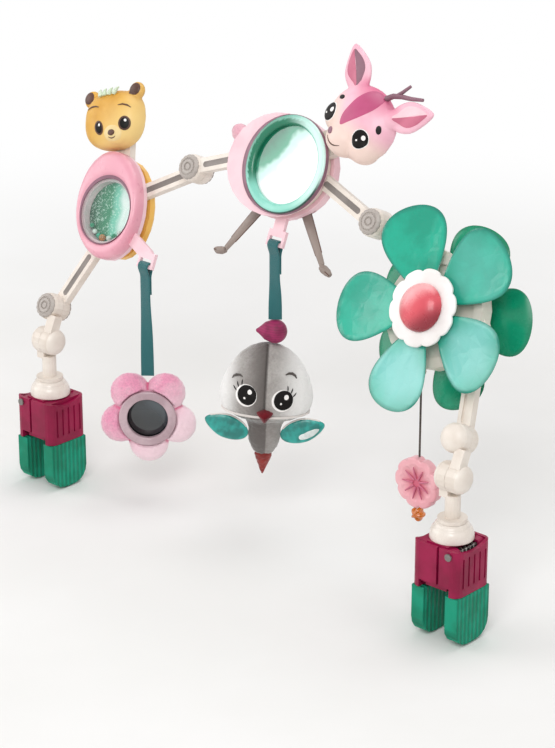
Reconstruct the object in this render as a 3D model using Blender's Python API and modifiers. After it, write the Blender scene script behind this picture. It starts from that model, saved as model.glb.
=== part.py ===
"""A play arch that clips across a pushchair: two spring clamps, five jointed arms and the toys on them.

Metres, +Z up. The origin is the middle of the right clamp's throat roof, which sits on the rim. +X runs from
the left clamp to the right one, and the faces look towards -Y. Pieces of the arch are modelled in its own
leaning frame: X across, Y up the arch and Z towards its front.
"""

import math

import bmesh
import bpy
from mathutils import Matrix, Vector

# Overall layout. Shares are of the span, measured from the right tilt pin.
SPAN = 0.400
LEAN = math.radians(24)
TILT_HEIGHT = 0.077
ARM_SET = 0.004
ARM_RISE = 0.026
FLOWER_DEER_SHARES = (-0.3025, 0.380)
DEER_BEAR_SHARES = (-0.7475, 0.394)
SPINNER_SHARES = (-0.130, 0.260)
DEER_SHARES = (-0.540, 0.4375)
BEAR_SHARES = (-0.9225, 0.285)

# Fits and facets
CLEARANCE = 0.0003
OVERRUN = 0.002
WELD = 0.00001
MERGE = 0.00005
QUARTER_SHARE = 1 - math.sqrt(0.5)
STEPS = 16
FINE_STEPS = 24
PIN_STEPS = 12
END_STEPS = 4
SMOOTH_ANGLE = math.radians(35)

# Knuckles, their pins and the bars between them
KNUCKLE_RADIUS = 0.0105
LOBE_THICKNESS = 0.0092
LOBE_ROUND = 0.003
PIN_RADIUS = 0.0021
PIN_PLAY = 0.0004
PIN_HEAD_RADIUS = 0.0039
PIN_HEAD_THICKNESS = 0.0024
PIN_SEAT_DEPTH = 0.003
PIN_HEAD_PLAY = 0.0005
PIN_FLOOR = 0.0022
BAR_WIDTH = 0.0108
BAR_THICKNESS = 0.0062
PLATE_THICKNESS = 0.0067
CHANNEL_WIDTH = 0.0050
CHANNEL_DEPTH = 0.0016
CHANNEL_INSET = 0.0125

# Clamp
THROAT = 0.018
CORE_LENGTH = 0.032
CORE_HEIGHT = 0.033
JAW_REACH = 0.020
JAW_WALL = 0.003
JAW_TOP = 0.032
JAW_CORNER = 0.0065
HOLLOW_CORNER = 0.001
JAW_FOOT = 0.004
CHEEK_WALL = 0.0027
CHEEK_EDGE = 0.004
FIXED_CHEEK_EDGE = 0.002
WEB_LOW = 0.002
WEB_HIGH = 0.001
TONGUE_THICKNESS = 0.0035
TONGUE_WIDTH = 0.026
TONGUE_DEPTH = 0.032
PAD_WALL = 0.004
PAD_WIDTH = 0.036
PAD_DEPTH = 0.040
PAD_BEVEL = 0.004
PAD_CORNER = 0.013
SCOOP_RADIUS = 0.040
SCOOP_DIP = 0.003
GRIPS = 5
GRIP_SPACING = 0.006
GRIP_WIDTH = 0.0016
GRIP_DEPTH = 0.0009
GRIP_LOW = 0.004
GRIP_HIGH = 0.026
HINGE_X = 0.0125
HINGE_Z = 0.028
HINGE_RADIUS = 0.0015
HINGE_HEAD_RADIUS = 0.0027
HINGE_HEAD_THICKNESS = 0.0012
LUG_RADIUS = 0.0036
LUG_INNER = 0.010
SPRING_WIRE = 0.0009
SPRING_RADIUS = 0.0026
SPRING_TURNS = 4
SPRING_POINTS = 8
SPRING_LEG = 0.017
SPRING_FOOT_SPREAD = 0.0010

# Dome of the housing and the post that swivels in it
DOME_RADIUS = 0.014
DOME_TOP_RADIUS = 0.0105
DOME_TOP = 0.045
DOME_LOW = 0.0321
BORE_RADIUS = 0.005
BORE_FLOOR = 0.030
STEM_PLAY = 0.0004
GROOVE_LOW = 0.0370
GROOVE_HIGH = 0.0396
GROOVE_DEPTH = 0.001
FLANGE_THICKNESS = 0.0027
NECK_RADIUS = 0.0055
NECK_DROP = 0.0123
BRIDGE_DROP = 0.007
BRIDGE_HALF = 0.005
BRIDGE_INNER = 0.0010
BRIDGE_OUTER = 0.0082

# Short link between the tilt knuckle and the arm knuckle
LINK_LOW = 0.0005
LINK_HIGH = 0.0086
LINK_FOOT = 0.006
LINK_HEAD = 0.020

# Spinner
RIM_RADIUS = 0.040
RIM_WIDTH = 0.007
RIM_FRONT = 0.0025
RIM_BACK = 0.0094
WEB_RECESS = 0.0025
BOSS_RADIUS = 0.010
AXLE_RADIUS = 0.0025
AXLE_PLAY = 0.0004
AXLE_HEAD_RADIUS = 0.004
AXLE_HEAD_THICKNESS = 0.0022
AXLE_CAP_RADIUS = 0.007
AXLE_CAP_HEIGHT = 0.004
AXLE_CAP_TOP_SHARE = 0.6
COLLAR_PLAY = 0.0004
HUB_LENGTH = 0.0114
HUB_RADIUS = 0.008
HUB_FLANGE_RADIUS = 0.012
HUB_FLANGE_THICKNESS = 0.0028
PETALS = 5
PETAL_HEIGHT = 0.0072
PETAL_ROOT = 0.009
PETAL_THICKNESS = 0.0018
PETAL_DISH = 0.004
PETAL_PITCH = math.radians(7)
PETAL_CELLS = 4
PETAL_BASE_SHARE = 0.882
PETAL_TIP_SHARE = 0.54
FRONT_REACH = 0.074
FRONT_PETAL_WIDTH = 0.050
FRONT_PHASE = math.radians(119)
REAR_REACH = 0.066
REAR_PETAL_WIDTH = 0.046
REAR_PHASE = math.radians(-8)
COLLAR_RADIUS = 0.0275
COLLAR_THICKNESS = 0.0025
COLLAR_LOBES = 10
COLLAR_NOTCH = 0.0020
SCALLOP_STEPS = 4
FLOWER_DOME_RADIUS = 0.017
FLOWER_DOME_HEIGHT = 0.0097
DOME_ROWS = 4

# Pendant
LUG_BALL_RADIUS = 0.0035
LUG_BALL_DROP = 0.002
CORD_RADIUS = 0.00075
PENDANT_LENGTH = 0.060
PENDANT_POINTS = 22
PENDANT_RADIUS = 0.019
PENDANT_THICKNESS = 0.008
PENDANT_LOBES = 9
PENDANT_NOTCH = 0.0018
BEAD_RADIUS = 0.005

# Deer. Shifts are from the middle of its body, across and up the arch.
DEER_HALF_WIDTH = 0.046
DEER_HALF_HEIGHT = 0.038
PLATE_INSET = 0.003
DEER_BACK_DEPTH = 0.013
DEER_BACK_ROUND = 0.010
DEER_BAR_SHARE = 0.75
# How a back shell's rounded edge eases from its side to its back, as shares of the edge
EDGE_SIDE_SHARE = 0.6
EDGE_INSET_SHARE = 0.3
EDGE_BACK_SHARE = 0.18
DEER_FRONT_DEPTH = 0.0037
MIRROR_SHIFT = (0.0115, 0.0015)
MIRROR_RADIUS = 0.0327
MIRROR_THICKNESS = 0.002
BEZEL_INNER_RADIUS = 0.029
BEZEL_RADIUS = 0.0365
BEZEL_HEIGHT = 0.0042
BEZEL_ROUND = 0.0012
DEER_HEAD_SHIFT = (0.0690, 0.0425)
DEER_HEAD_TILT = math.radians(-24)
DEER_SKULL = (0.0305, 0.0265, 0.0175)
MUZZLE = (0.014, 0.0125, 0.0130)
MUZZLE_SHIFT = (-0.003, -0.017)
NECK_WIDTH = 0.020
NECK_REACH = 0.064
EAR = (0.0095, 0.0170, 0.0040)
EAR_SPREAD = math.radians(50)
EAR_REACH = 0.040
EAR_LEVEL = 0.005
TWIG_ROOT = (0.001, 0.024)
TWIG_TIP = (0.027, 0.037)
TWIG_FORK = (0.012, 0.041)
TWIG_FORK_SHARE = 0.45
TWIG_RADIUS = 0.0021
TWIG_TIP_RADIUS = 0.0014
TWIG_LOW = 0.003
TWIG_HIGH = 0.0065
FORK_INSET_SHARE = 0.125
TAIL = (0.0105, 0.0070, 0.0050)
TAIL_OUTSET = 0.007
TAIL_HEIGHT_SHARE = 0.434
TAIL_TURN = math.radians(-18)
# Shares of the body's half width and half height
HIP_SHARES = {"left": (-0.326, -0.765), "right": (0.510, -0.675)}
LEG_SPLAYS = {"left": math.radians(-31.8), "right": math.radians(39.2)}
LEG_LENGTH = 0.047
LEG_TOP_RADIUS = 0.0042
LEG_TIP_RADIUS = 0.0030
LEG_THICKNESS = 0.0034
LEG_LEVEL = 0.006
HOOF = (0.0046, 0.0058, 0.0036)
HIP_SLOT_RADIUS = 0.0087
HIP_SLOT_DEPTH = 0.020
TRUNNION_RADIUS = 0.002
TRUNNION_LENGTH = 0.0066

# Bear. Shifts are from the middle of its body, across and up the arch.
BEAR_TILT = math.radians(18)
BEAR_HALF_WIDTH = 0.031
BEAR_HALF_HEIGHT = 0.042
BEAR_PLATE_INSET = 0.008
BEAR_FRONT_DEPTH = 0.0104
BEAR_BACK_INSET = 0.003
BEAR_BACK_DEPTH = 0.010
BEAR_BACK_ROUND = 0.008
WINDOW_SHIFT = (0.001, -0.005)
WELL_RADIUS = 0.0235
WELL_DEPTH = 0.0073
INSERT_THICKNESS = 0.0008
WINDOW_RADIUS = 0.0255
WINDOW_RIM = 0.0012
WINDOW_CROWN = 0.0057
WINDOW_WALL = 0.0012
WINDOW_LAND = 0.0035
# The window's dome: (share of its inner radius, depth below the crown in walls), outside and inside
WINDOW_OUTER_SHARES = ((0, 0), (0.40, 0.5), (0.75, 2.0))
WINDOW_INNER_SHARES = ((0.70, 3.0), (0.35, 1.6), (0, 1.0))
# Where the arm's bars end on the plate, as shares of its half width and half height
BEAR_BAR_SHARES = ((0.50, 0.33), (-0.25, -0.67))
RATTLE_RADIUS = 0.0028
BEAR_HEAD_REACH = 0.0674
BEAR_SKULL = (0.027, 0.023, 0.016)
BEAR_SKULL_LEVEL = 0.004
BEAR_EAR = (0.008, 0.008, 0.005)
BEAR_EAR_SHIFT = (0.024, 0.019)
BEAR_NECK_WIDTH = 0.022
BEAR_NECK_REACH = 0.072

# Strap tabs: each a plate with a slot, whose lower bar the strap goes round
TAB_WIDTH = 0.016
TAB_THICKNESS = 0.003
TAB_BAR = 0.003
TAB_SLOT_WIDTH = 0.0115
TAB_SLOT_HEIGHT = 0.0042
TAB_MARGIN = 0.005
DEER_TAB_SHIFT = (0.0095, -0.056)
DEER_TAB_LEVEL = -0.001
DEER_TAB_ROOT_SHARE = 0.75
BEAR_TAB_SHIFT = (0.050, -0.037)
BEAR_TAB_LEVEL = 0.004
BEAR_TAB_ROOT_SHARE = 0.42

# Straps. The toys turn from the tabs to face along azimuth 40 degrees.
STRAP_WIDTH = 0.010
STRAP_THICKNESS = 0.0011
STRAP_PLAY = 0.00035
STRAP_TAIL = 0.022
STRAP_PINCH = 0.009
STRAP_TAIL_SET = 0.0010
STRAP_FRONT_SET = 0.0006
# Rows of the strap, as shares of its tail, of the pinch behind the bar and of the pinch before it
TAIL_SHARES = (0, 0.5, 1)
BACK_PINCH_SHARES = (0.33, 0.67)
FRONT_PINCH_SHARES = (0.33, 0.67, 1)
ARC_ROWS = 7
TWIST_ROWS = 8
TOY_TURN = math.radians(40)

# Bird toy
BIRD_DROP = 0.067
BIRD_BALL_RADIUS = 0.009
BIRD_CREST = (0.0085, 0.0010, 0.0145)
BIRD_LEAN = math.radians(3)
BIRD_OFFSET = 0.004
BIRD_TUCK = 0.0015
BIRD_RADIUS = 0.0355
BIRD_HEIGHT = 0.093
BIRD_DEPTH_SHARE = 0.60
BIRD_PROFILE_SHARES = (
    (0, 0), (0.30, -0.030), (0.60, -0.11), (0.84, -0.24), (0.97, -0.38), (1.00, -0.47), (0.93, -0.56),
    (0.70, -0.625), (0.44, -0.665), (0.36, -0.74), (0.34, -0.85), (0.21, -0.95), (0, -1),
)
WING = (0.0175, 0.0095, 0.0030)
WING_SHIFT = (0.0285, -0.0763)
WING_LEVEL = 0.003
WING_TURN = math.radians(20)
BEAK_RADIUS = 0.0065
BEAK_TIP_RADIUS = 0.0015
BEAK_LENGTH = 0.011
BEAK_DROP = 0.0594
BIRD_TAIL_RADIUS = 0.0070
BIRD_TAIL_TIP_RADIUS = 0.0008
BIRD_TAIL_LENGTH = 0.0140
BIRD_TAIL_ROOT = 0.0040

# Flower toy
FLOWER_TOY_DROP = 0.1206
FLOWER_TOY_LOBES = 5
LOBE_PHASE = math.radians(126)
LOBE_CENTRE_RADIUS = 0.0230
LOBE_RADIUS = 0.0162
LOBE_HALF_DEPTH = 0.011
TOY_LOBE_RINGS = 7
HEART_RADIUS = 0.0250
RING_RADIUS = 0.0222
RING_INNER_RADIUS = 0.0157
RING_THICKNESS = 0.0036
RING_ROUND = 0.0010
RING_SEAT = 0.0062
TOY_MIRROR_RADIUS = 0.017
TOY_MIRROR_THICKNESS = 0.0018

AXIS_TURNS = {
    "X": Matrix.Rotation(math.pi / 2, 4, "Y"),
    "Y": Matrix.Rotation(-math.pi / 2, 4, "X"),
    "Z": Matrix.Identity(4),
}
# Turns a piece modelled face up (Z to its front) so that it faces -Y.
FACING = math.pi / 2


def clear_scene():
    for obj in list(bpy.data.objects):
        bpy.data.objects.remove(obj)


def new_collection(name):
    made = bpy.data.collections.new(name)
    bpy.context.scene.collection.children.link(made)
    return made


clear_scene()
PARTS = new_collection("play_arch")
CUTTERS = new_collection("cutters")


def srgb(value):
    """One sRGB channel of 0 to 255 as a linear value."""
    share = value / 255
    return share / 12.92 if share <= 0.04045 else ((share + 0.055) / 1.055) ** 2.4


def finish(name, colour, roughness, metallic=0.0, clear=0.0):
    made = bpy.data.materials.new(name)
    made.use_nodes = True
    shader = made.node_tree.nodes["Principled BSDF"]
    shader.inputs["Base Color"].default_value = (*map(srgb, colour), 1)
    shader.inputs["Roughness"].default_value = roughness
    shader.inputs["Metallic"].default_value = metallic
    shader.inputs["Transmission Weight"].default_value = clear
    return made


CREAM = finish("cream plastic", (232, 224, 214), 0.45)
FUCHSIA = finish("fuchsia plastic", (150, 22, 76), 0.40)
GREEN_RUBBER = finish("green rubber", (24, 146, 110), 0.65)
STEEL = finish("zinc plated steel", (176, 178, 180), 0.35, metallic=1.0)
TEAL = finish("clear teal plastic", (63, 193, 176), 0.25, clear=0.4)
GREEN = finish("green plastic", (13, 168, 128), 0.35)
WHITE = finish("white plastic", (240, 240, 238), 0.40)
CORAL = finish("coral plastic", (224, 96, 106), 0.30)
PINK = finish("pink plastic", (243, 181, 205), 0.40)
MINT = finish("mint plastic", (176, 226, 214), 0.30)
MIRROR_GLASS = finish("mirror film", (210, 232, 228), 0.08, metallic=1.0)
HEAD_PINK = finish("deer pink plastic", (240, 170, 196), 0.45)
TAUPE = finish("taupe plastic", (141, 125, 120), 0.50)
YELLOW = finish("honey yellow plastic", (227, 180, 80), 0.45)
EMERALD = finish("printed emerald card", (29, 138, 104), 0.50)
CLEAR = finish("clear plastic", (235, 245, 243), 0.05, clear=0.9)
AMBER = finish("amber plastic", (232, 136, 46), 0.30)
WEBBING = finish("teal webbing", (34, 108, 110), 0.85)
PLUSH_PINK = finish("pink plush", (242, 150, 182), 0.95)
PLUSH_GREY = finish("grey plush", (160, 156, 152), 0.95)
SATIN_TEAL = finish("teal satin", (40, 130, 132), 0.45)
DARK_RED = finish("dark red felt", (110, 20, 32), 0.90)
RUST = finish("rust plush", (147, 49, 47), 0.90)
SILVER_RING = finish("pink grey plastic", (190, 160, 172), 0.40)
DARK_MIRROR = finish("dark mirror film", (40, 48, 52), 0.10, metallic=1.0)
CORD_FINISH = finish("braided cord", (228, 214, 214), 0.90)


def link_object(name, data, material):
    made = bpy.data.objects.new(name, data)
    PARTS.objects.link(made)
    if material is not None:
        data.materials.append(material)
    return made


def solid(name, shape, material):
    """An object from a closed bmesh, shaded smooth but for its sharp edges."""
    mesh = bpy.data.meshes.new(name)
    shape.to_mesh(mesh)
    shape.free()
    mesh.shade_smooth()
    mesh.set_sharp_from_angle(angle=SMOOTH_ANGLE)
    return link_object(name, mesh, material)


def block(name, low, high, material=None):
    """A box between two opposite corners."""
    low, high = Vector(low), Vector(high)
    shape = bmesh.new()
    bmesh.ops.create_cube(shape, size=1)
    bmesh.ops.scale(shape, vec=high - low, verts=shape.verts)
    bmesh.ops.translate(shape, vec=(low + high) / 2, verts=shape.verts)
    return solid(name, shape, material)


def drum(name, radius, low, high, centre=(0, 0, 0), axis="Z", tip=None, steps=STEPS, material=None):
    """A cylinder between two heights along an axis through its centre, or a cone if a tip radius is given."""
    shape = bmesh.new()
    lift = Matrix.Translation((0, 0, (low + high) / 2))
    place = Matrix.Translation(centre) @ AXIS_TURNS[axis] @ lift
    bmesh.ops.create_cone(
        shape,
        cap_ends=True,
        segments=steps,
        radius1=radius,
        radius2=radius if tip is None else tip,
        depth=high - low,
        matrix=place,
    )
    return solid(name, shape, material)


def ball(name, radii, centre=(0, 0, 0), turn=0.0, segments=16, rings=10, material=None):
    """An ellipsoid, turned about Z and then moved to its centre."""
    shape = bmesh.new()
    bmesh.ops.create_uvsphere(shape, u_segments=segments, v_segments=rings, radius=1)
    bmesh.ops.scale(shape, vec=radii, verts=shape.verts)
    place = Matrix.Translation(centre) @ Matrix.Rotation(turn, 4, "Z")
    bmesh.ops.transform(shape, matrix=place, verts=shape.verts)
    return solid(name, shape, material)


def turned(name, profile, closed=False, steps=STEPS, material=None):
    """A profile of (radius, height) pairs, top to bottom on its outer side, turned about Z."""
    mesh = bpy.data.meshes.new(name)
    edges = [(i, i + 1) for i in range(len(profile) - 1)]
    if closed:
        edges.append((len(profile) - 1, 0))
    mesh.from_pydata([(radius, 0, height) for radius, height in profile], edges, [])
    made = link_object(name, mesh, material)
    screw = made.modifiers.new("turn", "SCREW")
    screw.steps = steps
    screw.render_steps = steps
    screw.use_merge_vertices = True
    screw.merge_threshold = MERGE
    screw.use_smooth_shade = True
    return made


def baked(made):
    """The object as a plain mesh, with its modifiers and its scale applied and its caps welded."""
    bpy.context.view_layer.update()
    evaluated = made.evaluated_get(bpy.context.evaluated_depsgraph_get())
    mesh = bpy.data.meshes.new_from_object(evaluated)
    name = made.name
    place = made.matrix_basis.copy()
    bpy.data.objects.remove(made)
    shape = bmesh.new()
    shape.from_mesh(mesh)
    bmesh.ops.transform(shape, matrix=place, verts=shape.verts)
    bmesh.ops.remove_doubles(shape, verts=shape.verts, dist=WELD)
    bmesh.ops.recalc_face_normals(shape, faces=shape.faces)
    shape.to_mesh(mesh)
    shape.free()
    mesh.shade_smooth()
    mesh.set_sharp_from_angle(angle=SMOOTH_ANGLE)
    return link_object(name, mesh, None)


def prism(name, outline, low, high, hole=None, material=None):
    """A flat outline between two heights, with a hole's outline in it if one is given."""
    curve = bpy.data.curves.new(name, "CURVE")
    curve.dimensions = "2D"
    curve.fill_mode = "BOTH"
    curve.extrude = (high - low) / 2
    for points in filter(None, (outline, hole)):
        spline = curve.splines.new("POLY")
        spline.points.add(len(points) - 1)
        for point, (x, y) in zip(spline.points, points):
            point.co = (x, y, 0, 1)
        spline.use_cyclic_u = True
    made = link_object(name, curve, material)
    made.location.z = (low + high) / 2
    return baked(made)


def tube(name, points, radius, resolution, material):
    """A round wire through points, with flat ends."""
    curve = bpy.data.curves.new(name, "CURVE")
    curve.dimensions = "3D"
    curve.bevel_depth = radius
    curve.bevel_resolution = resolution
    curve.use_fill_caps = True
    spline = curve.splines.new("POLY")
    spline.points.add(len(points) - 1)
    for point, place in zip(spline.points, points):
        point.co = (*place, 1)
    return link_object(name, curve, material)


def use_tool(piece, tool, operation):
    """Joins a helper shape to the piece or cuts it away, and keeps it hidden on the piece."""
    step = piece.modifiers.new(tool.name, "BOOLEAN")
    step.operation = operation
    step.solver = "EXACT"
    step.object = tool
    tool.parent = piece
    tool.hide_render = True
    tool.display_type = "WIRE"
    PARTS.objects.unlink(tool)
    CUTTERS.objects.link(tool)


def join(piece, *tools):
    for tool in tools:
        use_tool(piece, tool, "UNION")


def cut(piece, *tools):
    for tool in tools:
        use_tool(piece, tool, "DIFFERENCE")


def rounded(piece, width, segments=2):
    step = piece.modifiers.new("round", "BEVEL")
    step.width = width
    step.segments = segments
    step.limit_method = "ANGLE"
    return piece


def axis_empty(name, parent, at, turn=(0, 0, 0)):
    """An empty on a joint's axis, placed and turned in its parent's frame."""
    made = bpy.data.objects.new(name, None)
    PARTS.objects.link(made)
    made.parent = parent
    made.location = at
    made.rotation_euler = turn
    return made


def put(piece, body, at=(0, 0, 0), turn=(0, 0, 0)):
    """Hangs a piece on its body's axis."""
    piece.parent = body
    piece.location = at
    piece.rotation_euler = turn
    return piece


def at_shares(shares):
    return Vector((shares[0] * SPAN, shares[1] * SPAN, 0))


def across(shift, level=0.0):
    """A shift across and up the arch, at a level towards its front."""
    return Vector((shift[0], shift[1], level))


def turned_shift(shift, angle):
    """A shift turned about the arch's front direction."""
    return Matrix.Rotation(angle, 3, "Z") @ Vector((shift[0], shift[1], 0))


def oval(half_width, half_height, tilt=0.0, centre=(0, 0), steps=FINE_STEPS):
    points = []
    for i in range(steps):
        angle = math.tau * i / steps
        spot = turned_shift((half_width * math.cos(angle), half_height * math.sin(angle)), tilt)
        points.append((centre[0] + spot.x, centre[1] + spot.y))
    return points


def taper(start, start_radius, end, end_radius, steps=END_STEPS):
    """The outline round two circles, from the first to the second."""
    along = math.atan2(end[1] - start[1], end[0] - start[0])
    points = []
    for centre, radius, facing in ((end, end_radius, along), (start, start_radius, along + math.pi)):
        for i in range(steps + 1):
            angle = facing - math.pi / 2 + math.pi * i / steps
            points.append((centre[0] + radius * math.cos(angle), centre[1] + radius * math.sin(angle)))
    return points


def scallops(radius, notch, lobes):
    """A round outline with a row of lobes."""
    points = []
    for i in range(lobes * SCALLOP_STEPS):
        angle = math.tau * i / (lobes * SCALLOP_STEPS)
        swell = abs(math.sin(lobes * angle / 2))
        points.append(((radius - notch * (1 - swell)) * math.cos(angle),
                       (radius - notch * (1 - swell)) * math.sin(angle)))
    return points


# Places in the arch's frame
K1 = Vector((0, 0, 0))
K2 = Vector((-ARM_SET, ARM_RISE, 0))
K3 = at_shares(FLOWER_DEER_SHARES)
K4 = at_shares(DEER_BEAR_SHARES)
K6 = Vector((-SPAN, 0, 0))
K5 = K6 + K2
SPINNER = at_shares(SPINNER_SHARES)
DEER = at_shares(DEER_SHARES)
BEAR = at_shares(BEAR_SHARES)
PENDANT_LUG = Vector((0, -RIM_RADIUS - LUG_BALL_DROP, (RIM_FRONT - RIM_BACK) / 2))
LOBE_LEVEL = CLEARANCE / 2 + LOBE_THICKNESS / 2
PLATE_FACE = LOBE_LEVEL + PLATE_THICKNESS / 2
PLATE_BACK = LOBE_LEVEL - PLATE_THICKNESS / 2
UPRIGHT = (LEAN - math.pi / 2, 0, 0)
LEANING = (math.pi / 2 - LEAN, 0, 0)


def lobe(name, at, side, axis="Z"):
    """Half of a knuckle, on one side of its parting plane, with a rounded face."""
    near = CLEARANCE / 2
    far = near + LOBE_THICKNESS
    eased = LOBE_ROUND * QUARTER_SHARE
    profile = (
        (0, far),
        (KNUCKLE_RADIUS - LOBE_ROUND, far),
        (KNUCKLE_RADIUS - eased, far - eased),
        (KNUCKLE_RADIUS, far - LOBE_ROUND),
        (KNUCKLE_RADIUS, near),
        (0, near),
    )
    made = baked(turned(name, profile))
    facing = Matrix.Rotation(0 if side > 0 else math.pi, 4, "X")
    made.data.transform(Matrix.Translation(at) @ AXIS_TURNS[axis] @ facing)
    return made


def bore_lobe(piece, at, side, axis="Z"):
    """The pin's hole: open on the +1 side with a seat for the head, blind on the -1 side."""
    face = side * (CLEARANCE / 2 + LOBE_THICKNESS)
    bore = PIN_RADIUS + PIN_PLAY
    if side > 0:
        floor = face - PIN_SEAT_DEPTH
        seat = PIN_HEAD_RADIUS + PIN_HEAD_PLAY
        cut(
            piece,
            drum("pin hole", bore, -OVERRUN, face, at, axis, steps=PIN_STEPS),
            drum("head seat", seat, floor, face + OVERRUN, at, axis, steps=PIN_STEPS),
        )
    else:
        cut(piece, drum("pin hole", bore, face + PIN_FLOOR, OVERRUN, at, axis, steps=PIN_STEPS))


def knuckle_pin(name):
    """A headed pin along Z, from the open lobe into the blind one."""
    face = CLEARANCE / 2 + LOBE_THICKNESS
    shoulder = face - PIN_SEAT_DEPTH + CLEARANCE
    tip = PIN_FLOOR + CLEARANCE - face
    crown = shoulder + PIN_HEAD_THICKNESS
    profile = (
        (0, crown),
        (PIN_HEAD_RADIUS, crown),
        (PIN_HEAD_RADIUS, shoulder),
        (PIN_RADIUS, shoulder),
        (PIN_RADIUS, tip),
        (0, tip),
    )
    return turned(name, profile, steps=PIN_STEPS, material=STEEL)


def add_bar(piece, start, end, level):
    """A bar between two places, with a channel along its front and back where it is long enough."""
    low, high = level - BAR_THICKNESS / 2, level + BAR_THICKNESS / 2
    join(piece, prism("bar", taper(start, BAR_WIDTH / 2, end, BAR_WIDTH / 2), low, high))


def channel_bar(piece, start, end, level, far_inset):
    """Sinks the channels into a bar that is joined already."""
    run = (end - start).normalized()
    first = start + run * CHANNEL_INSET
    last = end - run * far_inset
    outline = taper(first, CHANNEL_WIDTH / 2, last, CHANNEL_WIDTH / 2)
    half = BAR_THICKNESS / 2
    front, back = level + half, level - half
    cut(
        piece,
        prism("front channel", outline, front - CHANNEL_DEPTH, front + OVERRUN),
        prism("back channel", outline, back - OVERRUN, back + CHANNEL_DEPTH),
    )


def housing(side, clamp):
    """The cream body: a core over the throat, lugs for the jaw's hinge and a dome that holds the post."""
    hinge = (HINGE_X, 0, HINGE_Z)
    half, back = THROAT / 2, JAW_REACH - JAW_WALL - CLEARANCE
    core = CORE_LENGTH / 2
    reach = core + OVERRUN
    piece = block(f"{side}_housing", (-half, -core, 0), (half, core, CORE_HEIGHT), CREAM)
    outline = rounded_end(0, back, core, HOLLOW_CORNER - CLEARANCE)
    mirrored = [(-x, y) for x, y in reversed(outline)]
    join(piece, prism("fixed side", mirrored, WEB_HIGH + CLEARANCE, JAW_TOP))
    dome = (
        (0, DOME_TOP),
        (DOME_TOP_RADIUS, DOME_TOP),
        (DOME_RADIUS, (DOME_TOP + CORE_HEIGHT) / 2),
        (DOME_RADIUS, DOME_LOW),
        (0, DOME_LOW),
    )
    join(piece, turned("dome", dome, steps=FINE_STEPS))
    for edge in (-1, 1):
        low, high = sorted((edge * LUG_INNER, edge * core))
        first = (half - OVERRUN, low, HINGE_Z - LUG_RADIUS)
        last = (HINGE_X, high, HINGE_Z + LUG_RADIUS)
        join(piece, drum("lug", LUG_RADIUS, low, high, hinge, "Y"), block("lug root", first, last))
    cut(
        piece,
        drum("hinge hole", HINGE_RADIUS + CLEARANCE, -reach, reach, hinge, "Y", steps=PIN_STEPS),
        turned("post bore", post_bore(), steps=STEPS),
    )
    return put(piece, clamp)


def post_bore():
    """The post's bore, with the groove that its ridge snaps into."""
    groove = BORE_RADIUS + GROOVE_DEPTH
    return (
        (0, DOME_TOP + OVERRUN),
        (BORE_RADIUS, DOME_TOP + OVERRUN),
        (BORE_RADIUS, GROOVE_HIGH),
        (groove, GROOVE_HIGH),
        (groove, GROOVE_LOW),
        (BORE_RADIUS, GROOVE_LOW),
        (BORE_RADIUS, BORE_FLOOR),
        (0, BORE_FLOOR),
    )


def rounded_end(low, high, half, corner):
    """A rectangle's outline along X, with the corners at its far end rounded."""
    points = [(low, -half)]
    for side, start in ((-1, -math.pi / 2), (1, 0)):
        for i in range(END_STEPS + 1):
            angle = start + math.pi / 2 * i / END_STEPS
            x = high - corner + corner * math.cos(angle)
            points.append((x, side * (half - corner) + corner * math.sin(angle)))
    points.append((low, half))
    return points


def jaw(name, cheek_edge, hinged):
    """A C-shaped shell over the core, with a tongue down into its pad, modelled on the +X side."""
    inner = JAW_REACH - JAW_WALL
    tongue = THROAT / 2 + PAD_WALL
    cheek = CORE_LENGTH / 2 + CLEARANCE
    outside = cheek + CHEEK_WALL
    web_top = WEB_HIGH if hinged else -CLEARANCE
    before = cheek_edge - OVERRUN
    shell = rounded_end(cheek_edge, JAW_REACH, outside, JAW_CORNER)
    hollow = rounded_end(before, inner, cheek, HOLLOW_CORNER)
    piece = prism(name, shell, -WEB_LOW, JAW_TOP, material=FUCHSIA)
    beside = outside + OVERRUN
    first = (before, -beside, -WEB_LOW - OVERRUN)
    last = (tongue, beside, JAW_FOOT)
    cut(piece, prism("hollow", hollow, web_top, JAW_TOP + OVERRUN), block("cheek foot", first, last))
    half = TONGUE_WIDTH / 2
    root = (web_top - WEB_LOW) / 2
    join(piece, block("tongue", (tongue, -half, -TONGUE_DEPTH), (tongue + TONGUE_THICKNESS, half, root)))
    dip = (0, 0, JAW_TOP + SCOOP_RADIUS - SCOOP_DIP)
    reach = JAW_REACH + OVERRUN
    cut(piece, drum("scoop", SCOOP_RADIUS, inner - OVERRUN, reach, dip, "X", steps=3 * STEPS))
    for i in range(GRIPS):
        middle = (i - (GRIPS - 1) / 2) * GRIP_SPACING
        near, far = middle - GRIP_WIDTH / 2, middle + GRIP_WIDTH / 2
        cut(piece, block("grip", (JAW_REACH - GRIP_DEPTH, near, GRIP_LOW), (reach, far, GRIP_HIGH)))
    if hinged:
        hinge = (HINGE_X, 0, HINGE_Z)
        cut(piece, drum("hinge hole", HINGE_RADIUS + CLEARANCE, -beside, beside, hinge, "Y", steps=PIN_STEPS))
    return piece


def pad(name):
    """A rubber boot over a jaw's tongue, round at its foot."""
    half = THROAT / 2
    outline = rounded_end(WEB_LOW + CLEARANCE, PAD_DEPTH, PAD_WIDTH / 2, PAD_CORNER)
    piece = prism(name, outline, half, JAW_REACH, material=GREEN_RUBBER)
    piece.data.transform(AXIS_TURNS["X"])
    rounded(piece, PAD_BEVEL)
    near = half + PAD_WALL - CLEARANCE
    far = half + PAD_WALL + TONGUE_THICKNESS + CLEARANCE
    side = TONGUE_WIDTH / 2 + CLEARANCE
    cut(piece, block("socket", (near, -side, -TONGUE_DEPTH - CLEARANCE), (far, side, OVERRUN)))
    return piece


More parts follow.
